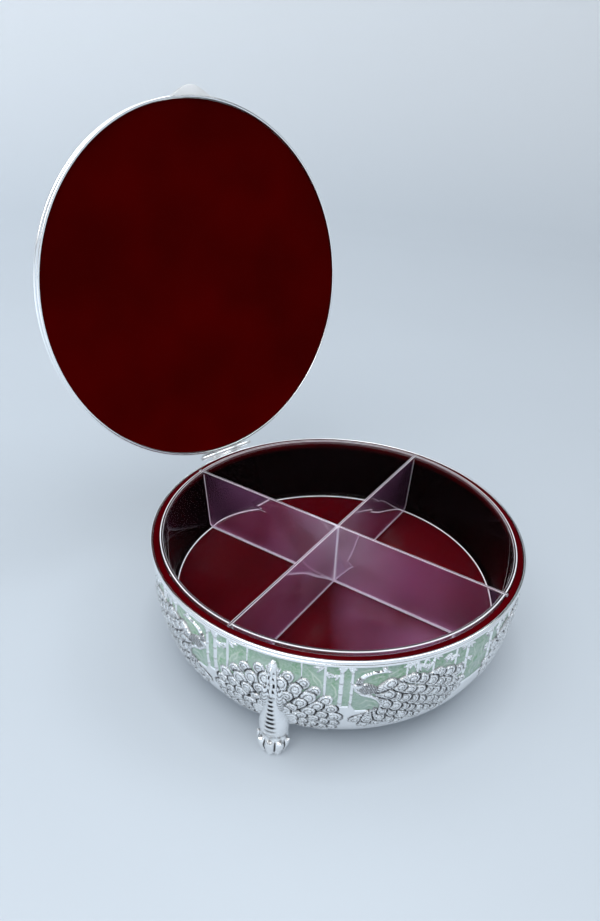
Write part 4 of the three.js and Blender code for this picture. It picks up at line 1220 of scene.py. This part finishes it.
# Stage, camera and light
FLOOR_RADIUS = 1100
SWEEP_RADIUS = 500
WALL_HEIGHT = 1800
LAMP_AIM = Vector((0, 0, 0.1))
KEY_POWER = 9.4
FILL_POWER = 3.6
ROOM_STRENGTH = 2.0
FLOOR_GLOW = 0.27
WALL_GLOW = 0.34
FRONT_GLOW = 0.34
SIDE_SHADE = 0.32
CAMERA_FROM_RIM = (-323.0, -311.0, 317.6)
CAMERA_HEADING = radians(42.4)
CAMERA_PITCH = radians(30.6)
CAMERA_ROLL = radians(2.75)
CAMERA_LENS, SENSOR_HEIGHT = 30.4, 36


def camera():
    data = bpy.data.cameras.new("camera")
    data.sensor_fit, data.sensor_height, data.lens = "VERTICAL", SENSOR_HEIGHT, CAMERA_LENS
    seen = add_object("camera", data)
    place = Matrix.Translation(TO_RIM @ Vector(CAMERA_FROM_RIM) * MM)
    pitch = turned(pi / 2 - CAMERA_PITCH, "X")
    seen.matrix_world = place @ turned(-CAMERA_HEADING, "Z") @ pitch @ turned(CAMERA_ROLL, "Z")
    bpy.context.scene.camera = seen


def floor_material():
    """Pale, with a little glow for the camera and for what mirrors or shows it, but not close round the
    bowl. It glows most at the front, and high up, out of sight, it is dark. Its ramps are in metres."""
    nodes = Nodes("floor")
    far = nodes.spread(nodes.vector("DISTANCE", (0, 0, 0)), 0, 1, 0.25, 1.3)
    high = nodes.spread(nodes.up(), 0, 1, 0.45, 1.4)
    back = nodes.spread(nodes.up(), 0, 1, 0.02, 0.42)
    cloud = nodes.spread(nodes.noise(420, 2), 0, 1, 0.3, 0.7)
    tone = nodes.blend(cloud, linear(172, 181, 190), linear(178, 187, 196))
    tone = nodes.blend(far, tone, linear(188, 197, 206))
    tone = nodes.blend(back, tone, linear(238, 243, 248))
    to_right = (cos(CAMERA_HEADING), -sin(CAMERA_HEADING), 0)
    to_front = (-sin(CAMERA_HEADING), -cos(CAMERA_HEADING), 0)
    shade = nodes.spread(nodes.vector("DOT_PRODUCT", to_right), 0, SIDE_SHADE, -0.8, 0.8)
    tone = nodes.blend(shade, tone, [0, 0, 0, 1])
    tone = nodes.blend(high, tone, [0.08, 0.085, 0.09, 1])
    gap = nodes.spread(nodes.vector("DISTANCE", (0, AXIS_Y * MM, 0)), 0, 1, 0.09, 0.145)
    seen = nodes.combine("MULTIPLY", nodes.ray("Camera"), gap)
    seen = nodes.combine("MAXIMUM", seen, nodes.ray("Glossy"), nodes.ray("Transmission"))
    front = nodes.spread(nodes.vector("DOT_PRODUCT", to_front), 0, FRONT_GLOW, 0.1, 0.9)
    amount = nodes.combine("ADD", nodes.spread(back, FLOOR_GLOW, WALL_GLOW), front)
    glow = nodes.combine("MULTIPLY", seen, amount, nodes.spread(high, 1, 0))
    nodes.set(Base_Color=tone, Roughness=0.55, Specular_IOR_Level=0.2)
    nodes.set(Emission_Color=linear(214, 223, 232), Emission_Strength=glow)
    return nodes.material


def stage():
    """A floor that curves up into a wall all round."""
    turns = np.linspace(0, pi / 2, 17)
    bend = [(FLOOR_RADIUS + SWEEP_RADIUS * sin(t), SWEEP_RADIUS * (1 - cos(t))) for t in turns]
    rows = [(0, 0), (FLOOR_RADIUS / 2, 0), *bend, (bend[-1][0], WALL_HEIGHT)]
    points, faces = lathe([*rows, rows[-1]], 96)
    lid = len(points) - 1
    mesh = new_mesh("floor", points[:lid], [face for face in faces if lid not in face])
    mesh.materials.append(floor_material())
    floor = add_object("floor", mesh)


def area_lamp(name, place, size, power, colour):
    data = bpy.data.lights.new(name, "AREA")
    data.shape, data.size, data.energy, data.color = "DISK", size, power, colour
    lamp = add_object(name, data)
    lamp.location = place
    lamp.rotation_euler = (LAMP_AIM - Vector(place)).to_track_quat("-Z", "Y").to_euler()


def light():
    """A softbox at the left, a small one at the right, and a room that is bright overhead."""
    area_lamp("key", (-0.75, -0.25, 1.3), 1.2, KEY_POWER, (1, 0.99, 0.98))
    area_lamp("fill", (0.9, -0.6, 1.5), 0.6, FILL_POWER, (0.95, 0.98, 1))
    world = bpy.data.worlds.new("room")
    bpy.context.scene.world = world
    world.use_nodes = True
    nodes, links = world.node_tree.nodes, world.node_tree.links
    kinds = ("TexCoord", "SeparateXYZ", "ValToRGB")
    place, split, ramp = (nodes.new(f"ShaderNode{kind}") for kind in kinds)
    room = nodes["Background"].inputs
    links.new(place.outputs["Generated"], split.inputs[0])
    links.new(split.outputs["Z"], ramp.inputs["Fac"])
    links.new(ramp.outputs["Color"], room["Color"])
    low, high = ramp.color_ramp.elements
    low.position, low.color = 0.62, (0.01, 0.01, 0.011, 1)
    high.position, high.color = 0.72, (0.74, 0.77, 0.8, 1)
    room["Strength"].default_value = ROOM_STRENGTH
    bpy.context.scene.view_settings.view_transform = "Standard"


camera()
stage()
light()
bowl_wall()
bowl_enamel()
rim_bands()
bowl_liner()
clear_tray()
divider_sheets()
legs()
lid_shell()
lid_lining()
thumb_tab()
hinge()
rivets()
screws()
